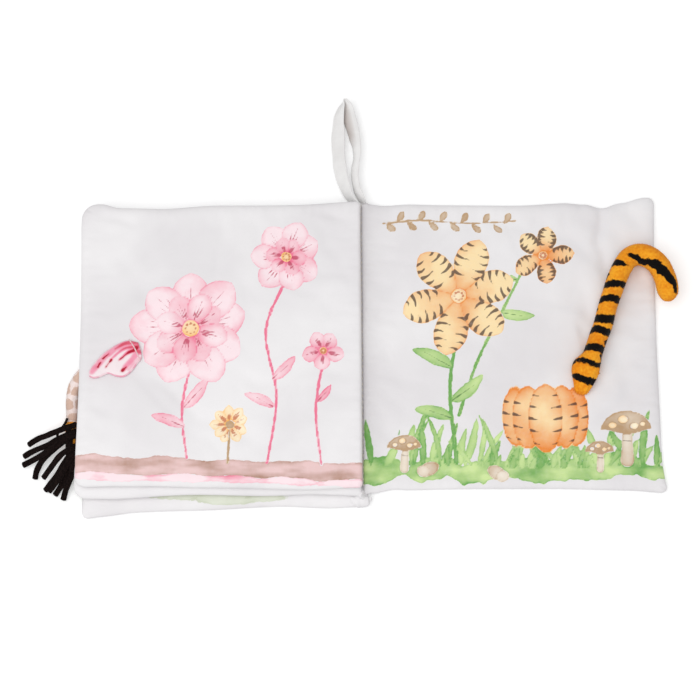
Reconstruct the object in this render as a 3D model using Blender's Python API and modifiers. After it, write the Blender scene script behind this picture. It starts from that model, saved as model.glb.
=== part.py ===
"""Crinkle cloth book, lying open at its last spread.

Three padded leaves lie on the left and one on the right, all sewn into a soft spine. Each leaf is
two cloth panels sewn at the rim, with wadding and a crinkling film inside. A ribbon loop hangs from
the spine's top, and three cloth tails are sewn to the leaves.
Metres, +X towards the right-hand leaf, +Y up the page, +Z up. The origin is under the spine.
"""

import math

import bmesh
import bpy
from mathutils import Matrix, Vector

# Leaves: cut size, thickness, and how the rim is rounded
PAGE_W = 0.204
PAGE_H = 0.207
LEAF_T = 0.0075
LEAF_GAP = 0.0003
GUTTER = 0.002
CORNER_R = 0.010
NOSE_R = 0.012
UNDER_R = 0.008
DRAW_IN = 0.002
EDGE_WAVER = 0.0008
SEAM_WAVER = 0.0004
SEAM_SHARE = 0.42
RIM_SHARE = 0.80

# Layers of a leaf
FABRIC_T = 0.0008
FILM_T = 0.0004
INNER_GAP = 0.0005
WADDING_INSET = 0.006
FILM_RIM_SHARES = (0.60, 0.55)
WADDING_RIM_SHARE = 0.30

# Spine
SPINE_TAIL = 0.0125
SPINE_ROUND = 0.0012
THREAD_R = 0.0004
TOP_RECESS = 0.0006

# Hang loop
RIBBON_W = 0.010
RIBBON_EDGE_R = 0.0006
LOOP_LENGTH = 0.078
LOOP_SPREAD = 0.0115
LOOP_BASE_Z = 0.008

# Striped tail on the right-hand leaf
STRIPED_R = 0.0072
STRIPED_WALL = 0.0012
STRIPED_INSET = 0.056
STRIPED_DOWN = 0.030
STRIPED_RISE = 0.094
STRIPED_REACH = 0.0635
TACK_SPAN = math.radians(100)

# Pink tail flap on the upper left leaf
FLAP_INSET = 0.0384
FLAP_DOWN = 0.0085
FLAP_LENGTH = 0.036
FLAP_ROOT_W = 0.019
FLAP_CLOTH_T = 0.0006
FLAP_FILL_T = 0.0012
FLAP_SCALLOP = 0.0016
FLAP_HEADING = math.radians(210.6)
FLAP_SWELL_SHARE = 0.12
FLAP_TAPER_SHARE = 0.33
FLAP_BEND_SHARE = 0.16
FLAP_FILL_INSET_SHARE = 0.06

# Spotted tail between the second and third leaves, and its tassel
SPOTTED_R = 0.0045
SPOTTED_WALL = 0.0009
SPOTTED_INSET = 0.0093
SPOTTED_DOWN = 0.0069
SPOTTED_DROP = 0.0535
SPOTTED_OUT = 0.0142
ROOT_FLAT_SHARE = 0.43
FLAT_LENGTH = 0.012
FLAT_FADE = 0.014
DENT_FADE = 0.004
WRAP_LENGTH = 0.0165
BAND_W = 0.005
BAND_T = 0.0024
BAND_START = 0.0005
STRIP_W = 0.0028
STRIP_T = 0.0008
STRIP_STEP = 0.00175
STRIP_REACH = 0.0335
SINK_RUN = 0.032
STRIP_BEND_SHARE = 0.28

# Resolution
PANEL_CELLS = 12
INNER_CELLS = 8
FLAP_CELLS = 8
NOSE_POWER = 2.2
WELD_DISTANCE = 0.00001

PITCH = LEAF_T + LEAF_GAP
HINGE_Z = 2 * PITCH - LEAF_GAP / 2
LEAF_TOP = LEAF_T + LEAF_GAP
FLAP_T = 2 * FLAP_CLOTH_T + FLAP_FILL_T + 2 * LEAF_GAP

# Each leaf: its side, how many leaves lie under it, and as shares of the page its width,
# and how far it has slipped down the page at the spine and at its outer edge
LEAF_SHARES = {
    "leaf_1": (-1, 0, 0.946, 0.051, 0.082),
    "leaf_2": (-1, 1, 0.961, 0.022, 0.034),
    "leaf_3": (-1, 2, 0.953, 0.006, 0.012),
    "leaf_4": (1, 0, 1.000, 0.000, -0.012),
}

# The two leaves that the spotted tail is sewn between
DENTED = ("leaf_2", "leaf_3")


def outer_edge(leaf):
    """Where the leaf's outer edge lies, to the left or right of the spine."""
    side, _, width_share, *_ = LEAF_SHARES[leaf]
    return side * (GUTTER + PAGE_W * width_share)


# Where each tail is sewn, in from the outer edge of its leaf and down from the page's middle
STRIPED_ROOT = (outer_edge("leaf_4") - STRIPED_INSET, -STRIPED_DOWN)
FLAP_ROOT = (outer_edge("leaf_3") + FLAP_INSET, -FLAP_DOWN)
SPOTTED_ROOT = (outer_edge("leaf_2") + SPOTTED_INSET, -SPOTTED_DOWN)

COLOURS = {
    "page_cloth": (0.86, 0.85, 0.84, 0.85, 0.0),
    "wadding": (0.93, 0.93, 0.92, 1.0, 0.0),
    "film": (0.80, 0.84, 0.88, 0.25, 0.0),
    "thread": (0.85, 0.80, 0.68, 0.7, 0.0),
    "ribbon": (0.88, 0.88, 0.88, 0.7, 0.0),
    "orange_plush": (0.90, 0.45, 0.08, 0.9, 0.0),
    "pink_cloth": (0.88, 0.48, 0.50, 0.85, 0.0),
    "spotted_cloth": (0.80, 0.66, 0.52, 0.9, 0.0),
    "black_felt": (0.03, 0.025, 0.02, 0.95, 0.0),
}


def clear_scene():
    for item in list(bpy.data.objects):
        bpy.data.objects.remove(item, do_unlink=True)


def book_collection():
    book = bpy.data.collections.new("crinkle_cloth_book")
    bpy.context.scene.collection.children.link(book)
    return book


def material(name):
    """The Principled material of this name, made on first use."""
    found = bpy.data.materials.get(name)
    if found:
        return found
    red, green, blue, roughness, metallic = COLOURS[name]
    made = bpy.data.materials.new(name)
    made.use_nodes = True
    shader = made.node_tree.nodes["Principled BSDF"]
    shader.inputs["Base Color"].default_value = (red, green, blue, 1)
    shader.inputs["Roughness"].default_value = roughness
    shader.inputs["Metallic"].default_value = metallic
    return made


def add_object(name, data, finish):
    item = bpy.data.objects.new(name, data)
    data.materials.append(material(finish))
    BOOK.objects.link(item)
    return item


def smooth(value):
    """Eases from 0 to 1 as the value goes from 0 to 1."""
    value = min(max(value, 0), 1)
    return value * value * (3 - 2 * value)


def nose(distance, reach):
    """The rounded rim: 0 at the seam, 1 from this reach inwards."""
    if distance >= reach:
        return 1
    return (1 - (1 - max(distance, 0) / reach) ** NOSE_POWER) ** (1 / NOSE_POWER)


def cloth_between(name, upper, lower, cells, finish):
    """One closed layer between two surfaces, each a function of two shares from 0 to 1.

    The cells are narrower towards the rim, where the surfaces turn most.
    """
    mesh = bpy.data.meshes.new(name)
    layer = bmesh.new()
    bmesh.ops.create_grid(layer, x_segments=cells, y_segments=cells, size=1)
    upper_faces = list(layer.faces)
    copied = bmesh.ops.duplicate(layer, geom=upper_faces + list(layer.verts) + list(layer.edges))
    lower_verts = {v for v in copied["geom"] if isinstance(v, bmesh.types.BMVert)}
    lower_faces = [f for f in copied["geom"] if isinstance(f, bmesh.types.BMFace)]
    for vert in layer.verts:
        u = 0.5 + 0.5 * math.sin(vert.co.x * math.pi / 2)
        v = 0.5 + 0.5 * math.sin(vert.co.y * math.pi / 2)
        vert.co = (lower if vert in lower_verts else upper)(u, v)
    bmesh.ops.reverse_faces(layer, faces=lower_faces)
    bmesh.ops.bridge_loops(layer, edges=[e for e in layer.edges if e.is_boundary])
    bmesh.ops.recalc_face_normals(layer, faces=layer.faces)
    layer.to_mesh(mesh)
    layer.free()
    mesh.shade_smooth()
    return add_object(name, mesh, finish)


# Leaves


def pressed(x, y, margin):
    """1 where the spotted tail's root lies between the leaves and presses them apart, else 0."""
    root_x, root_y = SPOTTED_ROOT
    across = smooth((root_x + SPOTTED_R + 2 * DENT_FADE + margin - x) / DENT_FADE)
    above = smooth((root_y + SPOTTED_R + 1.5 * DENT_FADE + margin - y) / DENT_FADE)
    below = smooth((y - root_y + 2.5 * FLAT_LENGTH + 1.5 * DENT_FADE + margin) / DENT_FADE)
    return across * above * below


def leaf_surface(leaf, front, depth, inset, edge_share=None):
    """A surface inside a leaf, as a function of two shares: outwards from the spine, and up the page.

    The leaf is a rounded rectangle drawn in between its corners. Its front is crowned, and its back
    lies flat. Depth is how far the surface lies under the skin and inset how far inside the rim.
    The skin starts from the seam; an inner layer starts from edge_share of its own full height.
    """
    side, level, width_share, slip_inner, slip_outer = LEAF_SHARES[leaf]
    width = PAGE_W * width_share
    phase = 1 + level + side

    def point(u, v):
        across = inset + u * (width - 2 * inset)
        up = inset + v * (PAGE_H - 2 * inset)
        rim = min(across - inset, width - inset - across, up - inset, PAGE_H - inset - up)
        dx = across - width / 2
        dy = up - PAGE_H / 2
        over_x = abs(dx) - (width / 2 - inset - CORNER_R)
        over_y = abs(dy) - (PAGE_H / 2 - inset - CORNER_R)
        if over_x > 0 and over_y > 0:
            pull = 1 - max(over_x, over_y) / math.hypot(over_x, over_y)
            dx -= math.copysign(over_x * pull, dx)
            dy -= math.copysign(over_y * pull, dy)
        middle = 1 - (2 * v - 1) ** 2
        dx -= DRAW_IN * u**3 * middle
        dy -= DRAW_IN * (2 * v - 1) ** 3 * (1 - (2 * u - 1) ** 2)
        dy += EDGE_WAVER * math.sin(2.5 * math.pi * u + phase) * abs(2 * v - 1) ** 3
        slip = PAGE_H * (slip_inner + (slip_outer - slip_inner) * u)
        x = side * (GUTTER + width / 2 + dx)
        y = dy - slip
        seam = SEAM_SHARE * LEAF_T + SEAM_WAVER * math.sin(5 * u + 4 * v + phase) * u
        crown = math.sqrt((1 - (2 * u - 1) ** 2) * middle)
        if front:
            full = LEAF_T * (RIM_SHARE + (1 - RIM_SHARE) * crown)
            if leaf == "leaf_2":
                floor = HINGE_Z - PITCH - LEAF_GAP - ROOT_FLAT_SHARE * SPOTTED_R - LEAF_GAP
                full -= (full - floor) * pressed(x, y, inset)
            high = full - depth - seam
            start = LEAF_GAP / 2 if edge_share is None else edge_share * high
            z = seam + start + nose(rim, NOSE_R) * (high - start)
        else:
            full = 0
            if leaf == "leaf_3":
                full = (ROOT_FLAT_SHARE * SPOTTED_R) * pressed(x, y, inset)
            low = seam - full - depth
            z = seam - LEAF_GAP / 2 - nose(rim, UNDER_R) * (low - LEAF_GAP / 2)
        return Vector((x, y, level * PITCH + z))

    return point


def build_leaf(leaf):
    """Front and back panels, the film that crinkles under the front, and the wadding."""
    for front, panel in ((True, "front_panel"), (False, "back_panel")):
        skin = leaf_surface(leaf, front, 0, 0)
        lining = leaf_surface(leaf, front, FABRIC_T, FABRIC_T)
        layers = (skin, lining) if front else (lining, skin)
        cloth_between(f"{leaf}_{panel}", *layers, PANEL_CELLS, "page_cloth")
    cells = PANEL_CELLS if leaf in DENTED else INNER_CELLS
    film_depth = FABRIC_T + INNER_GAP
    fill_depth = film_depth + FILM_T + INNER_GAP
    cloth_between(
        f"{leaf}_crinkle_film",
        leaf_surface(leaf, True, film_depth, WADDING_INSET, FILM_RIM_SHARES[0]),
        leaf_surface(leaf, True, film_depth + FILM_T, WADDING_INSET, FILM_RIM_SHARES[1]),
        cells,
        "film",
    )
    cloth_between(
        f"{leaf}_wadding",
        leaf_surface(leaf, True, fill_depth, WADDING_INSET, WADDING_RIM_SHARE),
        leaf_surface(leaf, False, film_depth, WADDING_INSET),
        cells,
        "wadding",
    )


# Curves


def smooth_path(points, steps):
    """Points along a smooth curve through the given ones, with this many steps in each span."""
    knots = [2 * points[0] - points[1], *points, 2 * points[-1] - points[-2]]
    path = []
    for before, start, end, after in zip(knots, knots[1:], knots[2:], knots[3:]):
        for step in range(steps):
            t = step / steps
            path.append(
                0.5 * (2 * start + (end - before) * t)
                + 0.5 * (2 * before - 5 * start + 4 * end - after) * t**2
                + 0.5 * (3 * start - 3 * end + after - before) * t**3
            )
    return path + [points[-1]]


def curve_data(name, points, radii, depth, roundness, tilts=None):
    data = bpy.data.curves.new(name, "CURVE")
    data.dimensions = "3D"
    data.twist_mode = "Z_UP"
    data.bevel_depth = depth
    data.bevel_resolution = roundness
    data.use_fill_caps = True
    spline = data.splines.new("POLY")
    spline.points.add(len(points) - 1)
    for index, (point, radius) in enumerate(zip(points, radii)):
        spline.points[index].co = (*point, 1)
        spline.points[index].radius = radius
        spline.points[index].tilt = tilts[index] if tilts else 0
    return data


def as_mesh(name, data, finish):
    """The curve's solid as a mesh object with welded caps."""
    guide = bpy.data.objects.new(name + "_guide", data)
    BOOK.objects.link(guide)
    bpy.context.view_layer.update()
    graph = bpy.context.evaluated_depsgraph_get()
    mesh = bpy.data.meshes.new_from_object(guide.evaluated_get(graph))
    bpy.data.objects.remove(guide)
    solid = bmesh.new()
    solid.from_mesh(mesh)
    bmesh.ops.remove_doubles(solid, verts=solid.verts, dist=WELD_DISTANCE)
    solid.to_mesh(mesh)
    solid.free()
    mesh.name = name
    mesh.materials.clear()
    return add_object(name, mesh, finish)


def cut(target, cutter):
    """Takes the cutter out of the target, and hides the cutter with the other ones."""
    BOOK.objects.unlink(cutter)
    CUTTERS.objects.link(cutter)
    cutter.hide_render = True
    cutter.display_type = "WIRE"
    taken = target.modifiers.new("hollow", "BOOLEAN")
    taken.operation = "DIFFERENCE"
    taken.object = cutter


def flatten_root(item, root, height):
    """Presses a tail flat where it is sewn between two leaves, fading out along its length."""
    for vert in item.data.vertices:
        away = math.hypot(vert.co.x - root[0], vert.co.y - root[1])
        keep = smooth((away - FLAT_LENGTH) / FLAT_FADE)
        share = ROOT_FLAT_SHARE + (1 - ROOT_FLAT_SHARE) * keep
        if away < FLAT_LENGTH + FLAT_FADE:
            vert.co.z = height + (vert.co.z - height) * share


def stuffed_tube(name, path, radii, radius, wall, finish):
    """A sewn tube open at its root, the stuffing in it, and the hollow that parts them."""
    hollow_radius = (radius - wall) / radius
    fill_radius = (radius - wall - LEAF_GAP) / radius
    first = path[0] + (path[0] - path[1]).normalized() * wall
    short = path[:-1]
    cover = as_mesh(name + "_cover", curve_data(name, path, radii, radius, 3), finish)
    hollow_radii = [share * hollow_radius for share in radii[:-1]]
    hollow = as_mesh(
        name + "_hollow",
        curve_data(name, [first, *short], [hollow_radii[0], *hollow_radii], radius, 3),
        finish,
    )
    fill_radii = [share * fill_radius for share in radii[:-2]]
    filling = as_mesh(name + "_filling", curve_data(name, path[:-2], fill_radii, radius, 3), "wadding")
    cut(cover, hollow)
    return cover, hollow, filling


# Spine and hang loop


def build_spine():
    """The leaves' hems sewn into one web, which stands on the table up to the fold line."""
    half_width = GUTTER - LEAF_GAP
    height = HINGE_Z - TOP_RECESS
    low = -PAGE_H / 2 - SPINE_TAIL
    high = PAGE_H / 2
    bpy.ops.mesh.primitive_cube_add(size=2)
    web = bpy.context.object
    web.name = "spine_binding"
    web.data.name = "spine_binding"
    for vert in web.data.vertices:
        vert.co.x *= half_width
        vert.co.y = high if vert.co.y > 0 else low
        vert.co.z = height if vert.co.z > 0 else 0
    bpy.context.collection.objects.unlink(web)
    BOOK.objects.link(web)
    web.data.materials.append(material("page_cloth"))
    rounding = web.modifiers.new("soft_edges", "BEVEL")
    rounding.width = SPINE_ROUND
    rounding.segments = 3
    rounding.limit_method = "ANGLE"
    seam_z = height + LEAF_GAP + THREAD_R
    ends = [Vector((0, y, seam_z)) for y in (low + SPINE_TAIL, high - SPINE_ROUND)]
    seam = curve_data("spine_seam", ends, [1, 1], THREAD_R, 1)
    add_object("spine_seam", seam, "thread")


def build_hang_loop():
    """A ribbon folded over to a loop that leans to the left, its upper edge turned to the right.

    Each point: how far along the loop, how far across and how high, as shares, and the ribbon's tilt.
    """
    shares = (
        (0.000, 0.06, 1.00, 0.0),
        (0.060, -0.10, 1.00, 0.1),
        (0.150, -0.38, 1.00, 0.3),
        (0.300, -0.50, 1.00, 0.4),
        (0.520, -0.43, 1.00, 0.4),
        (0.720, -0.50, 1.00, 0.4),
        (0.860, -0.66, 1.00, 0.3),
        (0.950, -0.86, 1.00, 0.2),
        (0.990, -1.06, 1.00, 0.0),
        (0.960, -1.24, 1.00, -0.4),
        (0.880, -1.42, 0.95, -0.8),
        (0.760, -1.53, 0.85, -1.1),
        (0.600, -1.55, 0.80, -1.2),
        (0.430, -1.43, 0.80, -1.2),
        (0.280, -1.27, 0.85, -1.0),
        (0.160, -1.04, 0.90, -0.7),
        (0.060, -0.70, 1.00, -0.3),
        (0.000, -0.36, 1.00, 0.0),
    )
    foot = PAGE_H / 2 + LEAF_GAP
    knots = [
        Vector((across * LOOP_SPREAD, foot + along * LOOP_LENGTH, high * LOOP_BASE_Z))
        for along, across, high, _ in shares
    ]
    path = smooth_path(knots, 2)
    turns = smooth_path([Vector((tilt, 0, 0)) for *_, tilt in shares], 2)
    ribbon = curve_data("hang_loop", path, [1] * len(path), RIBBON_EDGE_R, 1, [t.x for t in turns])
    ribbon.extrude = RIBBON_W / 2 - RIBBON_EDGE_R
    as_mesh("hang_loop", ribbon, "ribbon")


# Striped tail


def build_striped_tail():
    """A plush tube sewn to the right-hand leaf at its root, hooked over at its tip."""
    shares = (
        (0.000, 0.000, 1.10),
        (0.070, 0.155, 1.12),
        (0.170, 0.335, 1.00),
        (0.265, 0.505, 0.94),
        (0.345, 0.660, 0.94),
        (0.425, 0.815, 0.96),
        (0.550, 0.940, 1.00),
        (0.715, 0.995, 1.02),
        (0.880, 0.920, 1.04),
        (0.965, 0.780, 1.00),
        (0.985, 0.690, 0.86),
        (0.990, 0.640, 0.45),
    )
    root_x, root_y = STRIPED_ROOT
    height = LEAF_TOP + STRIPED_R * max(radius for *_, radius in shares)
    knots = [
        Vector((root_x + out * STRIPED_REACH, root_y + up * STRIPED_RISE, height))
        for out, up, _ in shares
    ]
    path = smooth_path(knots, 2)
    radii = [share.x for share in smooth_path([Vector((r, 0, 0)) for _, _, r in shares], 2)]
    stuffed_tube("striped_tail", path, radii, STRIPED_R, STRIPED_WALL, "orange_plush")
    tack("striped_tail_tack", path, radii[0] * STRIPED_R, LEAF_TOP)


def tack(name, path, radius, height):
    """Whipped thread round a tail's root, on the side away from the tail."""
    root = path[0]
    behind = root - path[1]
    middle = math.atan2(behind.y, behind.x)
    points = []
    for step in range(9):
        angle = middle + TACK_SPAN * (step / 8 - 0.5)
        reach = radius + LEAF_GAP + THREAD_R
        x = root.x + reach * math.cos(angle)
        y = root.y + reach * math.sin(angle)
        points.append(Vector((x, y, height + THREAD_R)))
    add_object(name, curve_data(name, points, [1] * len(points), THREAD_R, 1), "thread")


# Pink tail flap


def flap_axes():
    """The directions along the flap from its root, and across it down the page."""
    along = Vector((math.cos(FLAP_HEADING), math.sin(FLAP_HEADING), 0))
    return along, Vector((-along.y, along.x, 0))


def flap_surface(depth, top, inset_share):
    """A surface of the padded flap: one share along it from its sewn root, one across it."""
    along, across = flap_axes()
    root = Vector((*FLAP_ROOT, 0))
    base = 2 * PITCH + LEAF_TOP

    def edge(side, u):
        """One long edge of the flap: rounded above, scalloped below."""
        swell = FLAP_SWELL_SHARE * math.sin(math.pi * min(u * 1.3, 1))
        half = 0.5 + swell - FLAP_TAPER_SHARE * u**2
        point = root + along * (FLAP_LENGTH * u) + across * (side * half * FLAP_ROOT_W)
        bend = across * (FLAP_ROOT_W * FLAP_BEND_SHARE * u**2)
        scallop = across * (FLAP_SCALLOP * abs(math.sin(3 * math.pi * u)) * max(side, 0))
        return point - bend * side**2 + scallop

    def point(u, v):
        u = inset_share + u * (1 - 2 * inset_share)
        v = inset_share + v * (1 - 2 * inset_share)
        flat = edge(1, u).lerp(edge(-1, u), v)
        z = FLAP_T - depth if top else depth
        return Vector((flat.x, flat.y, base + z))

    return point


def build_pink_tail():
    """Two scalloped cloth shapes with wadding between them, and the stitches behind the root."""
    film = FLAP_CLOTH_T + LEAF_GAP
    cloth_between(
        "pink_tail_front",
        flap_surface(0, True, 0),
        flap_surface(FLAP_CLOTH_T, True, 0),
        FLAP_CELLS,
        "pink_cloth",
    )
    cloth_between(
        "pink_tail_back",
        flap_surface(FLAP_CLOTH_T, False, 0),
        flap_surface(0, False, 0),
        FLAP_CELLS,
        "pink_cloth",
    )
    cloth_between(
        "pink_tail_wadding",
        flap_surface(film, True, FLAP_FILL_INSET_SHARE),
        flap_surface(film, False, FLAP_FILL_INSET_SHARE),
        FLAP_CELLS,
        "wadding",
    )
    along, across = flap_axes()
    base = Vector((*FLAP_ROOT, 2 * PITCH + LEAF_TOP + THREAD_R))
    zigzag = [
        base
        + across * (FLAP_ROOT_W * (index / 6 - 0.5))
        - along * (LEAF_GAP + THREAD_R + (index % 2) * 4 * THREAD_R)
        for index in range(7)
    ]
    add_object(
        "pink_tail_stitches",
        curve_data("pink_tail_stitches", zigzag, [1] * 7, THREAD_R, 1),
        "thread",
    )


# Spotted tail and tassel

# The orange cloth: how far along it, and its radius there
WRAP_SHARES = ((0, 0.96), (0.3, 1), (0.6, 0.98), (0.85, 0.85), (1, 0.6))

# Where each strip ends, to the left of the wrap's start and down the page, as shares of the reach
TASSEL_SHARES = (
    (0.24, 0.06),
    (0.89, 0.28),
    (0.98, 0.53),
    (1.00, 0.70),
    (0.74, 0.99),
    (0.56, 0.95),
    (0.52, 1.25),
    (0.44, 1.30),
    (0.31, 1.36),
    (0.11, 1.44),
)


def build_spotted_tail():
    """A narrow tube sewn between two leaves, drooping over their edge on to the table.

    Returns the place where its tassel lifts.
    """
    wrap_z = SPOTTED_R + FABRIC_T + LEAF_GAP
    drop = HINGE_Z - LEAF_GAP - wrap_z
    shares = (
        (0.00, 0.00, 0.00, 1.00),
        (0.41, 0.16, 0.00, 1.00),
        (0.78, 0.32, 0.02, 1.00),
        (0.98, 0.51, 0.20, 1.00),
        (1.05, 0.70, 0.58, 1.00),
        (1.03, 0.86, 0.95, 1.00),
        (1.01, 0.94, 1.00, 0.98),
        (1.00, 1.00, 1.00, 0.96),
    )
    root_x, root_y = SPOTTED_ROOT
    knots = [
        Vector(
            (
                root_x - out * SPOTTED_OUT,
                root_y - down * SPOTTED_DROP,
                HINGE_Z - LEAF_GAP - sink * drop,
            )
        )
        for out, down, sink, _ in shares
    ]
    path = smooth_path(knots, 3)
    radii = [share.x for share in smooth_path([Vector((r, 0, 0)) for *_, r in shares], 3)]
    pieces = stuffed_tube("spotted_tail", path, radii, SPOTTED_R, SPOTTED_WALL, "spotted_cloth")
    for piece in pieces:
        flatten_root(piece, SPOTTED_ROOT, HINGE_Z - LEAF_GAP)
    bed = HINGE_Z - LEAF_GAP - ROOT_FLAT_SHARE * SPOTTED_R
    tack("spotted_tail_tack", path, SPOTTED_R, bed)
    return build_tassel(path[-1], (path[-1] - path[-2]).normalized())


def build_tassel(tail_end, heading):
    """Orange cloth round the tail's end, and a slit felt band sewn on top of it.

    Returns the place under the band's right edge, where the tassel lifts.
    """
    start = tail_end + heading * LEAF_GAP
    wrap = [start + heading * (WRAP_LENGTH * along) for along, _ in WRAP_SHARES]
    wrap_radii = [radius for _, radius in WRAP_SHARES]
    wrap_curve = curve_data("tail_wrap", wrap, wrap_radii, SPOTTED_R, 3)
    add_object("tail_wrap", wrap_curve, "orange_plush")
    count = len(TASSEL_SHARES)
    band_low = start.z + SPOTTED_R + LEAF_GAP
    band_right = start.x + BAND_W / 2
    length = (count - 1) * STRIP_STEP + STRIP_W
    bpy.ops.mesh.primitive_cube_add(size=2)
    band = bpy.context.object
    band.name = "tassel_band"
    band.data.name = "tassel_band"
    for vert in band.data.vertices:
        vert.co.x = band_right if vert.co.x > 0 else band_right - BAND_W
        vert.co.y = start.y - BAND_START if vert.co.y > 0 else start.y - BAND_START - length
        vert.co.z = band_low + BAND_T if vert.co.z > 0 else band_low
    bpy.context.collection.objects.unlink(band)
    BOOK.objects.link(band)
    band.data.materials.append(material("black_felt"))
    band_left = Vector((band_right - BAND_W, start.y - BAND_START, 0))
    for index, (out, down) in enumerate(TASSEL_SHARES):
        upper = index % 2
        y = band_left.y - STRIP_W / 2 - index * STRIP_STEP
        if upper:
            root = Vector((band_right - BAND_W / 2, y, band_low + BAND_T + LEAF_GAP + STRIP_T / 2))
            floor = 4 * STRIP_T
        else:
            root = Vector((band_left.x - LEAF_GAP, y, band_low + BAND_T / 2))
            floor = STRIP_T
        lead = Vector((band_left.x - LEAF_GAP - STRIP_W / 2, y, root.z))
        tip = Vector((start.x - out * STRIP_REACH, start.y - down * STRIP_REACH, 0))
        path = [root, *strip_path(lead, tip, floor, band_left, length)]
        strip = curve_data(
            f"tassel_strip_{index + 1:02d}",
            path,
            [1] * len(path),
            STRIP_T / 2,
            0,
            [math.pi / 2] * len(path),
        )
        strip.extrude = STRIP_W / 2 - STRIP_T / 2
        add_object(strip.name, strip, "black_felt")
    return Vector((band_right, band_left.y - length / 2, band_low))


def strip_path(lead, tip, floor, band_left, length):
    """A strip's way from the band: off sideways, bending towards its tip and sinking to the table.

    It sinks with its distance from the band's edge, so that the two layers of strips stay apart.
    """
    span = Vector((tip.x - lead.x, tip.y - lead.y, 0))
    bend = lead + (span.normalized() + Vector((-1, 0, 0))) * (STRIP_BEND_SHARE * span.length)
    path = []
    for step in range(8):
        t = step / 7
        point = lead * (1 - t) ** 2 + bend * (2 * t * (1 - t)) + tip * t**2
        beyond = max(band_left.y - length - point.y, 0)
        away = math.hypot(band_left.x - point.x, beyond)
        point.z = floor + (lead.z - floor) * smooth(1 - away / SINK_RUN)
        path.append(point)
    return path


# Hinges


def hinge(name, place, carrier, *prefixes):
    """An empty on a hinge's axis, which carries the pieces whose names start as given."""
    pivot = bpy.data.objects.new(name, None)
    pivot.location = place
    pivot.empty_display_size = PITCH
    BOOK.objects.link(pivot)
    for item in [item for item in BOOK.objects if item.type != "EMPTY"]:
        if item.name.startswith(prefixes):
            item.parent = pivot
            item.matrix_parent_inverse = Matrix.Translation(place).inverted()
    if carrier:
        pivot.parent = carrier
        pivot.matrix_parent_inverse = Matrix.Translation(carrier.location).inverted()
    return pivot


def build_hinges(tassel_place):
    """Where each leaf, tail, tassel and the hang loop turn, and which piece carries them."""
    fold = Vector((0, 0, HINGE_Z))
    flap_top = Vector((*FLAP_ROOT, 2 * PITCH + LEAF_TOP + FLAP_T))
    loop_foot = Vector((0, PAGE_H / 2 + LEAF_GAP, LOOP_BASE_Z + RIBBON_W / 2))
    leaf_2 = hinge("leaf_2_turn", fold, None, "leaf_2_", "spotted_tail_tack")
    leaf_3 = hinge("leaf_3_turn", fold, leaf_2, "leaf_3_", "pink_tail_stitches")
    leaf_4 = hinge("leaf_4_turn", fold, None, "leaf_4_", "striped_tail_tack")
    striped_root = Vector((*STRIPED_ROOT, LEAF_TOP))
    hinge("striped_tail_wag", striped_root, leaf_4, "striped_tail_cover", "striped_tail_filling")
    flap_pieces = ("pink_tail_front", "pink_tail_back", "pink_tail_wadding")
    hinge("pink_tail_lift", flap_top, leaf_3, *flap_pieces)
    spotted_root = Vector((*SPOTTED_ROOT, HINGE_Z - LEAF_GAP))
    tail_pieces = ("spotted_tail_cover", "spotted_tail_filling", "tail_wrap")
    tail = hinge("spotted_tail_swing", spotted_root, leaf_2, *tail_pieces)
    hinge("tassel_lift", tassel_place, tail, "tassel_")
    hinge("hang_loop_swing", loop_foot, None, "hang_loop")


clear_scene()
BOOK = book_collection()
CUTTERS = bpy.data.collections.new("cutters")
bpy.context.scene.collection.children.link(CUTTERS)
build_spine()
for leaf_name in LEAF_SHARES:
    build_leaf(leaf_name)
build_hang_loop()
build_striped_tail()
build_pink_tail()
build_hinges(build_spotted_tail())
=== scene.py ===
import math

import bpy
import numpy as np
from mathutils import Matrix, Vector


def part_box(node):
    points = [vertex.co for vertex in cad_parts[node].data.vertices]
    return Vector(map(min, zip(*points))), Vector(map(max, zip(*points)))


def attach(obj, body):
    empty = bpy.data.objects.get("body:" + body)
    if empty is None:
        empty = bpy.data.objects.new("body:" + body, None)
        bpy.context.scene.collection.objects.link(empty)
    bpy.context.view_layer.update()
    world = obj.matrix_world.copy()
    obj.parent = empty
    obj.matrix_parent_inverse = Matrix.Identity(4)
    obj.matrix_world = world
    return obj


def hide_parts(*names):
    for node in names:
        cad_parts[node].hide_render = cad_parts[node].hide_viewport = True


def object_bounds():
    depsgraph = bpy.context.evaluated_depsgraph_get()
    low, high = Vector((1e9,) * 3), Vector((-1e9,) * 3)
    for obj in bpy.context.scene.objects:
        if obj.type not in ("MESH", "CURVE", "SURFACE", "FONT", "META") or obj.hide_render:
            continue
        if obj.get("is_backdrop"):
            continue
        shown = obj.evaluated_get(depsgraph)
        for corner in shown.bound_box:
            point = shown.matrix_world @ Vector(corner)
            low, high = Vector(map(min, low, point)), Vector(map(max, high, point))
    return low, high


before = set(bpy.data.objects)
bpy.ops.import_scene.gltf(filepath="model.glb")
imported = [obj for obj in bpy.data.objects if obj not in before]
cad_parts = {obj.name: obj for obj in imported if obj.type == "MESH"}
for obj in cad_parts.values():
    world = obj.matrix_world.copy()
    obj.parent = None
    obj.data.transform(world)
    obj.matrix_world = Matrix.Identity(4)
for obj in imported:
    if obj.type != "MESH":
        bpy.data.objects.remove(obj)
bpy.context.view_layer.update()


# Spine. The hems of all the leaves are stacked and stitched through along the fold, which leaves a
# thin web of page cloth standing from the table up to the fold line. Its foot pokes out below the
# pages in a gathered pucker.

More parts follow.
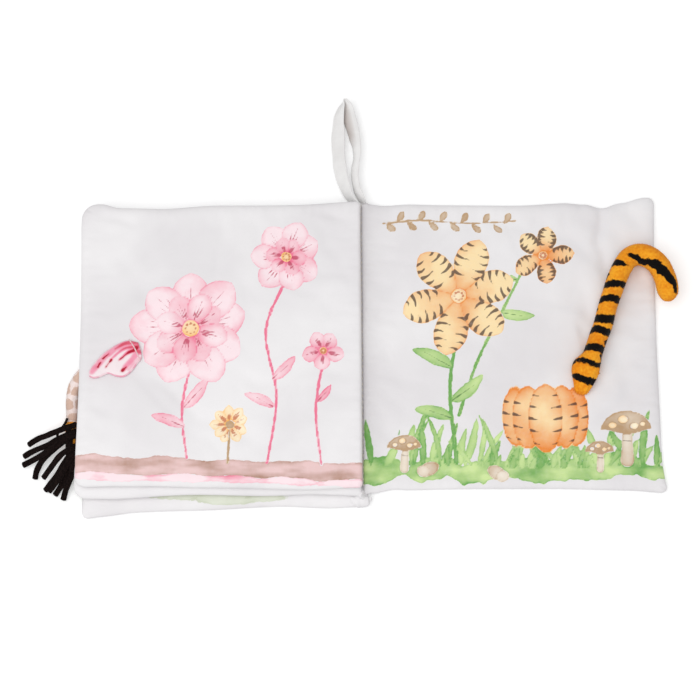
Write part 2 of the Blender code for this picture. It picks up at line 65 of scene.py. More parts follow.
PAGE_H = 0.207
FOLD_Z = 0.01545
WEB_TOP = 0.0147
WEB_HALF_W = 0.00028
FOOT_START = -0.1030
FOOT_FULL = -0.1075
FOOT_END = -0.1134
FOOT_X = -0.0022
FOOT_HALF_W = 0.0074
FOOT_HEIGHT = 0.0072
FOOT_CLOSE = 0.004
FOOT_SWELL = 0.13
WEB_LIFT = 0.0002
SEAM_Z = 0.0138
SEAM_INSET = 0.002
STITCH_PITCH = 0.0042
STITCH_SWING = 0.00032
THREAD_R = 0.0002
THREAD_COLUMNS = 6


def smoothstep(value, low=0.0, high=1.0):
    """Eases from 0 to 1 as the value goes from low to high."""
    t = np.clip((value - low) / (high - low), 0, 1)
    return t * t * (3 - 2 * t)


def ripple(x, y, seed, scale, octaves=4):
    """Soft random relief between about -1 and 1: sines in random directions, summed.

    Each octave's waves are about half as long and half as high as the last one's.
    """
    draw = np.random.default_rng(seed)
    total = np.zeros(np.broadcast(x, y).shape)
    weight = 0
    for octave in range(octaves):
        for _ in range(5):
            heading = draw.uniform(0, 2 * np.pi)
            wave = 2 * np.pi * 2**octave / scale * draw.uniform(0.7, 1.3)
            phase = draw.uniform(0, 2 * np.pi)
            along = x * np.cos(heading) + y * np.sin(heading)
            total += np.sin(along * wave + phase) / 2**octave
        weight += 2.2 / 2**octave
    return total / weight


def smooth_path(knots, steps):
    """Points along a smooth curve through the knots.

    On each span it is the cubic whose slope at either end is half the chord between that end's
    neighbours.
    """
    knots = np.asarray(knots, float)
    knots = np.concatenate([[2 * knots[0] - knots[1]], knots, [2 * knots[-1] - knots[-2]]])
    before, start, end, after = (knots[i : len(knots) - 3 + i, None] for i in range(4))
    t = (np.arange(steps) / steps)[None, :, None]
    spans = start + (end - before) * t / 2
    spans = spans + (before - 2.5 * start + 2 * end - after / 2) * t**2
    spans = spans + (1.5 * (start - end) + (after - before) / 2) * t**3
    return np.concatenate([spans.reshape(-1, knots.shape[1]), knots[-2:-1]])


def even_path(knots, spacing):
    """The smooth curve through the knots, at even steps of its length in its first three columns."""
    path = smooth_path(knots, 12)
    away = np.linalg.norm(np.diff(path[:, :3], axis=0), axis=1)
    length = np.concatenate([[0], np.cumsum(away)])
    places = np.linspace(0, length[-1], max(round(length[-1] / spacing), 4) + 1)
    return np.stack([np.interp(places, length, column) for column in path.T], axis=1), places


def directions(path, tilt=0.0):
    """The sideways and upward directions at each point of a path, turned about it by the tilt."""
    ahead = np.gradient(path, axis=0)
    ahead /= np.linalg.norm(ahead, axis=1, keepdims=True)
    side = np.cross([0, 0, 1], ahead)
    side /= np.linalg.norm(side, axis=1, keepdims=True)
    above = np.cross(ahead, side)
    turn = np.broadcast_to(tilt, len(path))[:, None]
    return side * np.cos(turn) + above * np.sin(turn), above * np.cos(turn) - side * np.sin(turn)


def swept(path, sections, tilt=0.0):
    """A grid of points: at each point of the path, its section's offsets sideways and upwards."""
    side, above = directions(path, tilt)
    offsets = sections[..., :1] * side[:, None] + sections[..., 1:] * above[:, None]
    return path[:, None] + offsets


def round_section(columns, squareness=2.0):
    """Points round a section of half width and half height 1, from a circle (2) towards a square."""
    angle = np.arange(columns) * 2 * np.pi / columns
    corner = np.stack([np.cos(angle), np.sin(angle)], axis=1)
    return np.sign(corner) * np.abs(corner) ** (2 / squareness)


def quads(index):
    """Quads between neighbouring numbers of a grid of vertex numbers."""
    corners = (index[:-1, :-1], index[:-1, 1:], index[1:, 1:], index[1:, :-1])
    return np.stack(corners, axis=-1).reshape(-1, 4).tolist()


def add_piece(name, points, faces, material):
    """A smooth-shaded mesh piece at the origin."""
    mesh = bpy.data.meshes.new(name)
    mesh.from_pydata(points.reshape(-1, 3).tolist(), [], faces)
    mesh.materials.append(material)
    mesh.shade_smooth()
    piece = bpy.data.objects.new(name, mesh)
    bpy.context.scene.collection.objects.link(piece)
    return piece


def tube_faces(rows, columns, first=0):
    """Faces of a closed tube whose points go round it in rows, with a cap at either end."""
    index = first + np.arange(rows * columns).reshape(rows, columns)
    around = np.concatenate([index, index[:, :1]], axis=1)
    return quads(around) + [index[0, ::-1].tolist(), index[-1].tolist()]


def add_tubes(name, grids, material):
    """One piece made of closed tubes, each a grid of points."""
    faces = []
    first = 0
    for grid in grids:
        faces += tube_faces(*grid.shape[:2], first)
        first += grid.shape[0] * grid.shape[1]
    points = np.concatenate([grid.reshape(-1, 3) for grid in grids])
    return add_piece(name, points, faces, material)


def attribute(piece, name, values):
    """Gives the piece's vertices one number each, which its material reads by name."""
    layer = piece.data.attributes.new(name, "FLOAT", "POINT")
    layer.data.foreach_set("value", np.asarray(values, np.float32).ravel())


def tint(red, green, blue):
    """A colour as it shows on a screen, 0 to 255, as the linear one that a shader takes."""
    share = np.array([red, green, blue]) / 255
    linear = np.where(share <= 0.04045, share / 12.92, ((share + 0.055) / 1.055) ** 2.4)
    return (*linear.tolist(), 1.0)


class Dye:
    """A cloth's material while its nodes are laid out."""

    def __init__(self, name, roughness, sheen):
        self.material = bpy.data.materials.new(name)
        self.material.use_nodes = True
        self.tree = self.material.node_tree
        self.shader = self.tree.nodes["Principled BSDF"]
        self.shader.inputs["Roughness"].default_value = roughness
        self.shader.inputs["Specular IOR Level"].default_value = 0.25
        self.shader.inputs["Sheen Weight"].default_value = sheen
        self.shader.inputs["Sheen Roughness"].default_value = 0.5
        self.place = self.tree.nodes.new("ShaderNodeTexCoord").outputs["Object"]

    def node(self, kind, inputs, output=0, **settings):
        """Adds a node with the given inputs, numbers or sockets, and gives its output."""
        made = self.tree.nodes.new("ShaderNode" + kind)
        for key, value in settings.items():
            setattr(made, key, value)
        for key, value in inputs.items():
            if isinstance(value, bpy.types.NodeSocket):
                self.tree.links.new(value, made.inputs[key])
            else:
                made.inputs[key].default_value = value
        return made.outputs[output]

    def noise(self, size, detail=3.0):
        """Noise whose lumps are about this many metres across."""
        return self.node("TexNoise", {"Vector": self.place, "Scale": 0.5 / size, "Detail": detail})

    def read(self, name):
        """The number that the mesh holds under this name."""
        return self.node("Attribute", {}, output=2, attribute_name=name)

    def maths(self, operation, first, second, clamp=False):
        """One step of arithmetic, kept between 0 and 1 if clamped."""
        return self.node("Math", {0: first, 1: second}, operation=operation, use_clamp=clamp)

    def ease(self, value, low, high, start=0.0, end=1.0):
        """From start to end, smoothly, as the value goes from low to high."""
        limits = {"From Min": low, "From Max": high, "To Min": start, "To Max": end}
        return self.node("MapRange", {"Value": value, **limits}, interpolation_type="SMOOTHSTEP")

    def mix(self, factor, first, second):
        """From the first colour to the second as the factor goes from 0 to 1."""
        inputs = {0: factor, 6: first, 7: second}
        return self.node("Mix", inputs, output=2, data_type="RGBA")

    def weave(self, pitch):
        """The little hills of a plain weave: crossed waves, one thread's pitch long."""
        scale = 2 * math.pi / (20 * pitch)
        crossed = [
            self.node("TexWave", {"Vector": self.place, "Scale": scale}, bands_direction=way)
            for way in ("X", "Y")
        ]
        return self.maths("MULTIPLY", *crossed)

    def finish(self, colour, *reliefs):
        """Sets the colour and the bumps: pairs of a height and its depth in metres."""
        self.tree.links.new(colour, self.shader.inputs["Base Color"])
        normal = None
        for height, depth in reliefs:
            inputs = {"Height": height, "Distance": depth, "Strength": 1.0}
            if normal is not None:
                inputs["Normal"] = normal
            normal = self.node("Bump", inputs)
        self.tree.links.new(normal, self.shader.inputs["Normal"])
        return self.material


PAGE_PALE = tint(237, 235, 236)
PAGE_DUSK = tint(227, 224, 226)


def plain_cloth(name, pale, dusk, field=None, shade_tint=None):
    """Brushed white cloth: fine weave, short nap and a faint change of tone.

    If the mesh has a field, a painted shade's colour comes in as that number goes from 0 to 1.
    """
    dye = Dye(name, 0.9, 0.15)
    tone = dye.mix(dye.ease(dye.noise(0.02), 0.3, 0.7), pale, dusk)
    if field is not None:
        tone = dye.mix(dye.read(field), tone, shade_tint)
    return dye.finish(tone, (dye.noise(0.003, 4.0), 0.00012), (dye.weave(0.0005), 0.00004))


def thread_finish(name, pale, deep):
    """Twisted sewing thread: slanting strands a third of a millimetre apart."""
    dye = Dye(name, 0.75, 0.1)
    strands = {"Vector": dye.place, "Scale": 900.0, "Distortion": 1.5}
    twist = dye.node("TexWave", strands, bands_direction="DIAGONAL")
    tone = dye.mix(dye.ease(twist, 0.2, 0.8), deep, pale)
    return dye.finish(tone, (twist, 0.00006))


spine_cloth = plain_cloth("spine_cloth", PAGE_PALE, PAGE_DUSK)
cream_thread = thread_finish("cream_thread", tint(238, 228, 208), tint(205, 188, 158))


def fold_line(y):
    """How far the sewn fold lies from the middle plane: it leans a little as it goes down."""
    return -0.0013 - 0.0068 * y


def spine_sections(y, foot, columns):
    """The web's section at each place down the spine: thin and tall, spreading to a low round foot."""
    end = np.clip((y - FOOT_END) / FOOT_CLOSE, 0, 1)
    closed = np.sqrt(1 - (1 - end) ** 2).clip(0.03, 1)
    half_w = (WEB_HALF_W + foot * (FOOT_HALF_W - WEB_HALF_W)) * closed
    half_h = (WEB_TOP / 2 + foot * (FOOT_HEIGHT - WEB_TOP) / 2) * closed
    outline = round_section(columns, 2.6)
    sections = outline[None] * np.stack([half_w, half_h], axis=1)[:, None]
    folds = ripple(y[:, None] * 0.5, sections[..., 0] * 1.6, 5, 0.006, 2)
    gathered = 1 + 0.14 * folds * foot[:, None]
    return sections * gathered[..., None], half_h


spine_y = np.concatenate([np.linspace(FOOT_END, FOOT_START, 70), np.linspace(-0.102, 0.1025, 90)])
foot_share = smoothstep(-spine_y, -FOOT_START, -FOOT_FULL)
spine_shapes, spine_half = spine_sections(spine_y, foot_share, 64)
spine_x = fold_line(spine_y) + foot_share * (FOOT_X - fold_line(spine_y))
spine_z = spine_half * (1 + FOOT_SWELL * foot_share) + WEB_LIFT
spine_path = np.stack([spine_x, spine_y, spine_z], axis=1)
spine_web = add_tubes("spine_web", [swept(spine_path, spine_shapes)], spine_cloth)
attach(spine_web, "book_base")
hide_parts("spine_binding")

# Two-thread lockstitch through the web, just under the fold line
stitch_y = np.linspace(-PAGE_H / 2 + SEAM_INSET, PAGE_H / 2 - SEAM_INSET, 620)
stitch_wave = np.sin((stitch_y + PAGE_H) * 2 * np.pi / STITCH_PITCH)
stitch_x = fold_line(stitch_y) + STITCH_SWING * stitch_wave
stitch_path = np.stack([stitch_x, stitch_y, SEAM_Z + 0 * stitch_y], axis=1)
thread_round = round_section(THREAD_COLUMNS) * THREAD_R
stitch_round = np.broadcast_to(thread_round, (len(stitch_path), THREAD_COLUMNS, 2))
spine_stitching = add_tubes("spine_stitching", [swept(stitch_path, stitch_round)], cream_thread)
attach(spine_stitching, "book_base")
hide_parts("spine_seam")


# Leaves. Each is two panels of printed cloth, sewn at the rim and turned, over wadding and a film
# that crinkles. The seam pulls the rim into small puckers, the film creases the faces, and the
# leaves of the left-hand stack have slipped down the page as they turned.

PAGE_W = 0.204
LEAF_T = 0.0075
PITCH = 0.0078
GUTTER = 0.002
SPINE_CLEAR = 0.0006
NOSE_POWER = 2.3
RIM_REACH = 0.009
SPINE_REACH = 0.0024
SPINE_LIFT = 0.0020
UNDER_REACH = 0.005
SEAM_SHARE = 0.42
RIM_SHARE = 0.82
GUTTER_HALF = 0.00035
DRAW_IN = 0.002
EDGE_FADE = 0.030
VISIBLE_CELL = 0.00098
HIDDEN_CELL = 0.002
TAIL_ROOT = (-0.1887, -0.0069)
TOP_ALLOWANCE = 0.00015
TOP_EASE = 0.0008
SPINE_LIFT_REACH = 0.012
CRUSH_SHARE = 0.7
CRUSH_CELLS = 46
CRUSH_FRAMES = 25
CRUSH_LIMIT = 0.004

# The dent round the spotted tail: how far it reaches from the tail's root towards the spine, up the
# page and down it, how broad its edge is, how high its bed in leaf 2 lies and how deep it is in leaf 3
DENT_IN = 0.0155
DENT_UP = 0.0125
DENT_DOWN = 0.038
DENT_EDGE = 0.004
DENT_BED = 0.0052
DENT_ABOVE = 0.0022

# Side, level in the stack, width, slip down the page at the spine and at the outer edge
LEAVES = {
    "leaf_1": (-1, 0, 0.946, 0.051, 0.082),
    "leaf_2": (-1, 1, 0.961, 0.022, 0.034),
    "leaf_3": (-1, 2, 0.953, 0.006, 0.012),
    "leaf_4": (1, 0, 1.000, 0.000, -0.012),
}

# The corners' radii in millimetres: at the spine, at the outer top and at the outer bottom
CORNERS = {
    "leaf_1": (3, 9, 6),
    "leaf_2": (3, 9, 9),
    "leaf_3": (3, 12, 8),
    "leaf_4": (2, 6, 6),
}

# How far each edge bulges or dips, in millimetres, at shares of its length
EDGE_BENDS = {
    "leaf_1": {
        "top": ((0, 0), (0.4, -0.8), (0.7, 0.5), (1, 0)),
        "outer": ((0, -1), (0.2, 0.6), (0.6, -0.5), (1, 0)),
        "bottom": ((0, 0), (0.12, -0.9), (0.3, 0.5), (0.55, -0.7), (0.8, 0), (0.93, -1.5), (1, -2.5)),
    },
    "leaf_2": {
        "top": ((0, 0), (0.3, 0.5), (0.7, -0.6), (1, 0)),
        "outer": ((0, 1.0), (0.15, 1.6), (0.5, 0), (1, 0)),
        "bottom": ((0, 0), (0.15, 0.6), (0.35, -0.8), (0.6, 0.5), (0.85, -0.9), (1, 0.5)),
    },
    "leaf_3": {
        "top": ((0, 0), (0.24, -1.2), (0.53, -0.8), (0.73, -3.4), (0.87, -3.2), (0.93, -0.8), (1, -0.8)),
        "outer": ((0, 1.2), (0.15, 2), (0.5, 2.3), (0.9, 2.7), (1, 2)),
        "bottom": ((0, 1), (0.21, -1.4), (0.56, -0.2), (0.75, 1.4), (0.9, 2.3), (1, 2.5)),
    },
    "leaf_4": {
        "top": (
            (0, 3.8),
            (0.035, 1.2),
            (0.07, 0.6),
            (0.16, 2.1),
            (0.31, 1.7),
            (0.54, 1.2),
            (0.69, 2.4),
            (0.76, 0.9),
            (0.823, -2.4),
            (0.885, 0.9),
            (0.965, 4.4),
            (1, 4.8),
        ),
        "outer": ((0, 4), (0.05, 2), (0.1, 1), (0.3, 1.3), (0.7, 1.4), (0.86, 1.2), (1, 1.4)),
        "bottom": ((0, -2.8), (0.03, -1.6), (0.1, 0.5), (0.17, -0.3), (0.59, -1.2), (0.87, -1.9), (1, -3.4)),
    },
}


def rim_stations(length, near, far, cell):
    """Places across a leaf: even cells, getting narrower as the square towards either rim."""

    def turn(reach):
        """Stations from a rim inwards, at 1 less the cosine of even steps of a quarter turn."""
        steps = round(reach * math.pi / 2 / cell)
        return reach * (1 - np.cos(np.linspace(0, np.pi / 2, steps + 1)))

    middle = np.linspace(near, length - far, round((length - near - far) / cell) + 1)
    return np.concatenate([turn(near)[:-1], middle, (length - turn(far)[::-1])[1:]])


def nose(share):
    """The rim's rounding: 0 at the seam, 1 from a full reach inwards, and upright at the seam."""
    return (1 - (1 - np.clip(share, 0, 1)) ** NOSE_POWER) ** (1 / NOSE_POWER)


def bends(stations, share):
    """The bulge of an edge, eased from one station to the next, in metres."""
    places, sizes = np.array(stations, float).T
    spot = np.interp(share, places, np.arange(len(places)))
    low = np.minimum(spot.astype(int), len(places) - 2)
    return (sizes[low] + (sizes[low + 1] - sizes[low]) * smoothstep(spot - low)) / 1000


def crease(x, y, start, end, width):
    """A fold line's depth, 1 along the middle of a segment and fading to its sides and ends."""
    start, end = np.array(start) / 1000, np.array(end) / 1000
    span = end - start
    length = np.hypot(*span)
    along = ((x - start[0]) * span[0] + (y - start[1]) * span[1]) / length
    across = ((y - start[1]) * span[0] - (x - start[0]) * span[1]) / length
    bow = across - 0.06 * length * np.sin(np.pi * np.clip(along / length, 0, 1))
    ends = smoothstep(along, -0.2 * length, 0.35 * length)
    ends = ends * smoothstep(length - along, -0.2 * length, 0.35 * length)
    return np.exp(-((bow / width) ** 2)) * ends


def simulated(seed, cells, height):
    """How a leaf's cloth moves when its film and wadding push it out: a cloth simulation.

    A flat pad of the leaf's size, ten times enlarged, has its seam held and its cloth grown by one
    hundredth between two plates, with light pressure inside. Returns how far each point of the
    front and the back has moved, as two grids.
    """
    enlarged = 10
    width = PAGE_W * 0.96
    n = cells + 1
    front = np.arange(n * n).reshape(n, n)
    back = front.copy()
    back[1:-1, 1:-1] = n * n + np.arange((n - 2) ** 2).reshape(n - 2, n - 2)
    x, y = np.meshgrid(np.linspace(0, width, n), np.linspace(0, PAGE_H, n))
    across = np.minimum(x, width - x)
    up = np.minimum(y, PAGE_H - y)
    rest = np.zeros((n * n + (n - 2) ** 2, 3))
    seam = SEAM_SHARE * height
    rest[back] = np.stack([x, y, seam - nose(across / 0.006) * nose(up / 0.006) * seam * 0.8], -1)
    rest[front] = np.stack([x, y, seam + nose(across / 0.008) * nose(up / 0.008) * seam * 1.1], -1)
    start = rest + np.random.default_rng(seed).normal(0, 0.00002, rest.shape)
    corner = (front[:-1, :-1], front[:-1, 1:], front[1:, 1:], front[1:, :-1])
    under = (back[:-1, :-1], back[:-1, 1:], back[1:, 1:], back[1:, :-1])
    split = np.indices(corner[0].shape).sum(0) % 2
    faces = []
    for a, b, c, d in (corner, under[::-1]):
        left = np.where(split[..., None], np.stack([a, b, c], -1), np.stack([a, b, d], -1))
        right = np.where(split[..., None], np.stack([a, c, d], -1), np.stack([b, c, d], -1))
        faces += left.reshape(-1, 3).tolist() + right.reshape(-1, 3).tolist()
    mesh = bpy.data.meshes.new("crush")
    mesh.from_pydata((start * enlarged).tolist(), [], faces)
    pad = bpy.data.objects.new("crush", mesh)
    bpy.context.scene.collection.objects.link(pad)
    plates = []
    for level in (0.0, height * enlarged):
        plate = bpy.data.meshes.new("plate")
        square = [(-1, -1, level), (3, -1, level), (3, 3, level), (-1, 3, level)]
        plate.from_pydata(square, [], [(0, 1, 2, 3) if level == 0 else (3, 2, 1, 0)])
        plates.append(bpy.data.objects.new("plate", plate))
        bpy.context.scene.collection.objects.link(plates[-1])
        plates[-1].modifiers.new("Collision", "COLLISION")
        plates[-1].collision.thickness_outer = 0.002
        plates[-1].collision.thickness_inner = 0.002
    held = pad.vertex_groups.new(name="seam")
    rim = np.concatenate([front[0], front[-1], front[:, 0], front[:, -1]])
    held.add(np.unique(rim).tolist(), 1.0, "REPLACE")
    cloth = pad.modifiers.new("Cloth", "CLOTH")
    settings = cloth.settings
    settings.quality = 6
    settings.mass = 0.3
    settings.tension_stiffness = settings.compression_stiffness = 30
    settings.shear_stiffness = 5
    settings.bending_stiffness = 2.0
    settings.shrink_min = settings.shrink_max = -0.012
    settings.use_pressure = True
    settings.uniform_pressure_force = 0.2
    settings.effector_weights.gravity = 0
    settings.vertex_group_mass = "seam"
    cloth.collision_settings.distance_min = 0.002
    for step in range(1, CRUSH_FRAMES + 1):
        bpy.context.scene.frame_set(step)
    settled = pad.evaluated_get(bpy.context.evaluated_depsgraph_get()).to_mesh()
    moved = np.empty(len(rest) * 3)
    settled.vertices.foreach_get("co", moved)
    moved = moved.reshape(-1, 3) / enlarged - rest
    for item in (pad, *plates):
        bpy.data.objects.remove(item)
    bpy.context.scene.frame_set(1)
    moved *= np.minimum(1, CRUSH_LIMIT / np.linalg.norm(moved, axis=1).clip(1e-9))[:, None]
    return moved[front], moved[back]


def spline_sampled(grid, rows, columns):
    """A coarse grid's values at shares of its height and width: a cubic B-spline both ways."""
    for axis, share in ((0, rows), (1, columns)):
        last = grid.shape[axis] - 1
        spot = np.clip(share, 0, 1) * last
        low = np.minimum(spot.astype(int), last - 1)
        t = (spot - low).reshape([-1 if i == axis else 1 for i in range(grid.ndim)])
        near = [np.take(grid, np.clip(low + i, 0, last), axis=axis) for i in (-1, 0, 1, 2)]
        weights = (1 - t) ** 3, 3 * t**3 - 6 * t**2 + 4, 1 + 3 * t + 3 * t**2 - 3 * t**3, t**3
        grid = sum(weight * part for weight, part in zip(weights, near)) / 6
    return grid


def leaf_points(leaf, cell, crush):
    """The leaf's front and back as grids of points, rows up the page, columns out from the spine.

    A rounded rectangle, drawn in between its corners, whose edges bulge and dip. Above the seam the
    front rises steeply, then crowns; below it the back runs down to a flat bed. Puckers cross the
    seam, fold lines run over the faces, and the simulated crush is added.
    """
    side, level, width_share, slip_inner, slip_outer = LEAVES[leaf]
    width = PAGE_W * width_share + GUTTER - SPINE_CLEAR
    across = rim_stations(width, SPINE_REACH, RIM_REACH, cell)
    up = rim_stations(PAGE_H, RIM_REACH, RIM_REACH, cell)
    u, v = across / width, up / PAGE_H
    across, up = np.meshgrid(across, up)
    share_u, share_v = across / width, up / PAGE_H
    dx = across - width / 2
    dy = up - PAGE_H / 2
    at_spine, at_top, at_bottom = np.array(CORNERS[leaf]) / 1000
    radius = np.where(dx < 0, at_spine, np.where(dy > 0, at_top, at_bottom))
    over_x = (np.abs(dx) - width / 2 + radius).clip(0)
    over_y = (np.abs(dy) - PAGE_H / 2 + radius).clip(0)
    corner = np.hypot(over_x, over_y).clip(1e-9)
    pull = np.where((over_x > 0) & (over_y > 0), 1 - np.maximum(over_x, over_y) / corner, 0)
    middle = 1 - (2 * share_v - 1) ** 2
    bulge = 1 - (2 * share_u - 1) ** 2
    dx = dx - np.sign(dx) * over_x * pull - DRAW_IN * share_u**3 * middle
    dy = dy - np.sign(dy) * over_y * pull - DRAW_IN * (2 * share_v - 1) ** 3 * bulge
    near_top = np.exp(-((PAGE_H - up) / EDGE_FADE) ** 2)
    near_foot = np.exp(-((up / EDGE_FADE) ** 2))
    near_side = np.exp(-(((width - across) / EDGE_FADE) ** 2))
    dy = dy + near_top * bends(EDGE_BENDS[leaf]["top"], share_u)
    dy = dy + near_foot * bends(EDGE_BENDS[leaf]["bottom"], share_u)
    dx = dx + near_side * bends(EDGE_BENDS[leaf]["outer"], share_v)
    slip = PAGE_H * (slip_inner + (slip_outer - slip_inner) * share_u)
    y = dy - slip
    x = side * (SPINE_CLEAR + width / 2 + dx)
    near_spine = np.exp(-((across / EDGE_FADE) ** 2))
    x = x + (fold_line(y) + side * (GUTTER_HALF - SPINE_CLEAR)) * near_spine

    # The rim's small puckers, a stitch or two apart, run in from the seam and die away
    rim_away = np.minimum.reduce([across, width - across, up, PAGE_H - up])
    along = np.where(np.minimum(across, width - across) < np.minimum(up, PAGE_H - up), y, x)
    pucker = ripple(along, rim_away * 0.25, 11 + level + side, 0.016, 3)
    pucker = pucker * np.exp(-rim_away / 0.007) * (1 - np.exp(-rim_away / 0.0012))
    wander = ripple(x, y, 21 + level + side, 0.05, 2)
    seam = LEAF_T * SEAM_SHARE + 0.0004 * wander * share_u
    crown = np.sqrt(bulge.clip(0) * middle.clip(0))
    full = LEAF_T * (RIM_SHARE + (0.97 - RIM_SHARE) * crown)
    swell = ripple(x, y, 31 + level + side, 0.11, 2)
    rise = nose(across / SPINE_REACH) * nose((width - across) / RIM_REACH)
    rise = rise * nose(up / RIM_REACH) * nose((PAGE_H - up) / RIM_REACH)
    under = nose(across / UNDER_REACH) * nose((width - across) / UNDER_REACH)
    under = under * nose(up / UNDER_REACH) * nose((PAGE_H - up) / UNDER_REACH)
    front = seam + rise * (full - seam + 0.00035 * swell) + 0.0007 * pucker
    back = seam * (1 - under) - 0.0003 * pucker
    for start, end, depth, spread in CREASES.get(leaf, ()):
        front = front - depth / 1000 * rise * crease(x, y, start, end, spread / 1000)
    if leaf in ("leaf_2", "leaf_3"):
        root_x, root_y = TAIL_ROOT
        dent = smoothstep(root_x + DENT_IN - x, 0, DENT_EDGE)
        dent = dent * smoothstep(root_y + DENT_UP - y, 0, DENT_EDGE)
        dent = dent * smoothstep(y - root_y + DENT_DOWN, 0, DENT_EDGE)
        if leaf == "leaf_2":
            front = front - (front - DENT_BED).clip(0) * dent * rise
        else:
            back = back + DENT_ABOVE * dent * under
    front_points = np.stack([x, y, front], -1)
    back_points = np.stack([x, y, back], -1)
    if crush is not None:
        for points, moved in zip((front_points, back_points), crush):
            moved = spline_sampled(moved, v, u)
            points += CRUSH_SHARE * moved * np.array([side, 1, 1])
    top = LEAF_T + TOP_ALLOWANCE
    soft = front_points[..., 2]
    eased = top - TOP_EASE * np.exp((top - TOP_EASE - soft) / TOP_EASE)
    soft[...] = np.where(soft > top - TOP_EASE, eased, soft)
    back_points[..., 2] = back_points[..., 2].clip(0.00005)
    lift = SPINE_LIFT * np.exp(-((across / SPINE_LIFT_REACH) ** 2)) if leaf == "leaf_4" else 0
    for points in (front_points, back_points):
        points[..., 2] += level * PITCH + lift
    return front_points, back_points


# Fold lines on each leaf: where they start and end, how deep and how broad, in millimetres
CREASES = {
    "leaf_3": (
        ((-150, -24), (-112, -58), 2.2, 6),
        ((-118, -54), (-70, -74), 2.0, 7),
        ((-96, -34), (-66, -30), 1.0, 7),
        ((-192, -44), (-168, -58), 1.0, 5),
        ((-186, 90), (-160, 84), 1.2, 4),
        ((-40, 94), (-10, 86), 1.0, 4),
        ((-172, 64), (-148, 20), 0.9, 6),
        ((-60, 40), (-20, 56), 0.4, 8),
        ((-184, -66), (-150, -96), 0.5, 5),
        ((-70, -98), (-10, -88), 0.4, 4),
    ),
    "leaf_4": (
        ((169, 104), (165, 74), 2.0, 4),
        ((165, 80), (171, 44), 1.7, 5),
        ((146, 60), (159, 10), 1.3, 6),
        ((150, 18), (158, -6), 1.8, 5),
        ((184, 106), (198, 84), 0.8, 5),
        ((196, 60), (186, 26), 0.6, 7),
        ((174, 0), (184, -40), 1.3, 6),
        ((138, -44), (104, -70), 0.6, 6),
        ((158, -40), (196, -76), 0.6, 6),
        ((207, -66), (188, -82), 0.9, 4),
        ((3, 92), (34, 88), 0.4, 2.5),
        ((3, 74), (26, 72), 0.35, 2.5),
        ((3, 62), (40, 58), 0.35, 3),
        ((3, 46), (22, 43), 0.3, 2.5),
        ((3, 27), (34, 24), 0.3, 3),
        ((3, 10), (24, 8), 0.25, 3),
        ((8, -60), (46, -98), 0.4, 5),
        ((14, -103), (20, -88), 0.6, 3),
        ((60, 100), (110, 80), 0.5, 7),
    ),
}


def pad_faces(front, back_first):
    """Faces of a closed pad whose front and back grids share the points of their rim."""
    rows, columns = front.shape
    back = front.copy()
    inner = (rows - 2) * (columns - 2)
    back[1:-1, 1:-1] = back_first + np.arange(inner).reshape(rows - 2, columns - 2)
    return quads(front) + quads(back[:, ::-1])


# What a place far from any shape reads, in millimetres inside it
OUTSIDE = -20.0


def turned(page, x, y, heading):
    """A page's places along and across a heading, from a point."""
    dx, dy = page[0] - x, page[1] - y
    c, s = math.cos(heading), math.sin(heading)
    return dx * c + dy * s, dy * c - dx * s


def oval(page, x, y, width, height, heading=0.0):
    """How far inside an ellipse each place is, in millimetres."""
    along, across = turned(page, x, y, heading)
    return (1 - np.hypot(along / width, across / height)) * min(width, height)


def petal(page, x, y, length, width, heading, bend=0.0, blunt=1.5):
    """How far inside a petal: its half width, a sine of the share along it, less the offset.

    The blunter it is, the nearer to its tip it is widest.
    """
    along, across = turned(page, x, y, heading)
    share = np.clip(along / length, 0, 1)
    half = width * np.sin(np.pi * share**blunt) ** 0.6
    beyond = np.maximum(-along, along - length).clip(0)
    return half - np.hypot(across - bend * length * share**2, beyond)


def stroke(page, knots, start_width, end_width=None):
    """How far inside a brush stroke: half its width there, less the distance to its path."""
    end_width = start_width if end_width is None else end_width
    path = smooth_path(knots, 5)
    half = np.linspace(start_width, end_width, len(path)) / 2
    reach = half.max() + 3
    low, high = path.min(0) - reach, path.max(0) + reach
    near = (page[0] > low[0]) & (page[0] < high[0]) & (page[1] > low[1]) & (page[1] < high[1])
    x, y = page[0][near, None], page[1][near, None]
    start, span = path[:-1], np.diff(path, axis=0)
    share = (x - start[:, 0]) * span[:, 0] + (y - start[:, 1]) * span[:, 1]
    share = np.clip(share / (span**2).sum(1), 0, 1)
    away = np.hypot(x - start[:, 0] - share * span[:, 0], y - start[:, 1] - share * span[:, 1])
    inside = np.full(page[0].shape, OUTSIDE)
    inside[near] = (half[:-1] + share * np.diff(half) - away).max(axis=1)
    return inside


# How far a wash's deeper outline fades inwards, in millimetres
POOL = 3.2


def paint(sheet, wash, inside, tone=0.1, line=None, rim=0.4):
    """Lays a shape of one wash on a page, over whatever is there, with lines drawn inside it.

    The wash is deeper at the outline, by the rim's share, and that fades inwards as it pools.
    """
    for other, (edge, _, _) in sheet.items():
        if other != wash:
            edge[...] = np.minimum(edge, -inside)
    edge, tones, lines = sheet[wash]
    covered = inside > 0
    edge[...] = np.where(covered, inside, np.maximum(edge, inside))
    tones[...] = np.where(covered, tone + rim * np.exp(-inside.clip(0) / POOL), tones)
    lines[...] = np.minimum(lines, -inside)
    if line is not None:
        lines[...] = np.maximum(lines, np.minimum(line, inside))


def veins(page, at, ahead, aside, reach, bend):
    """Three thin brush lines up a petal, the outer two shorter."""
    drawn = []
    for spread, low, high in ((0, 0.26, 0.82), (-0.09, 0.34, 0.66), (0.09, 0.34, 0.66)):
        path = [
            at + ahead * (reach * s) + aside * (reach * (bend * s**2 + spread * s * 1.6))
            for s in (low, (low + high) / 2, high)
        ]
        drawn.append(stroke(page, path, 1.3, 0.4))
    return np.maximum.reduce(drawn)


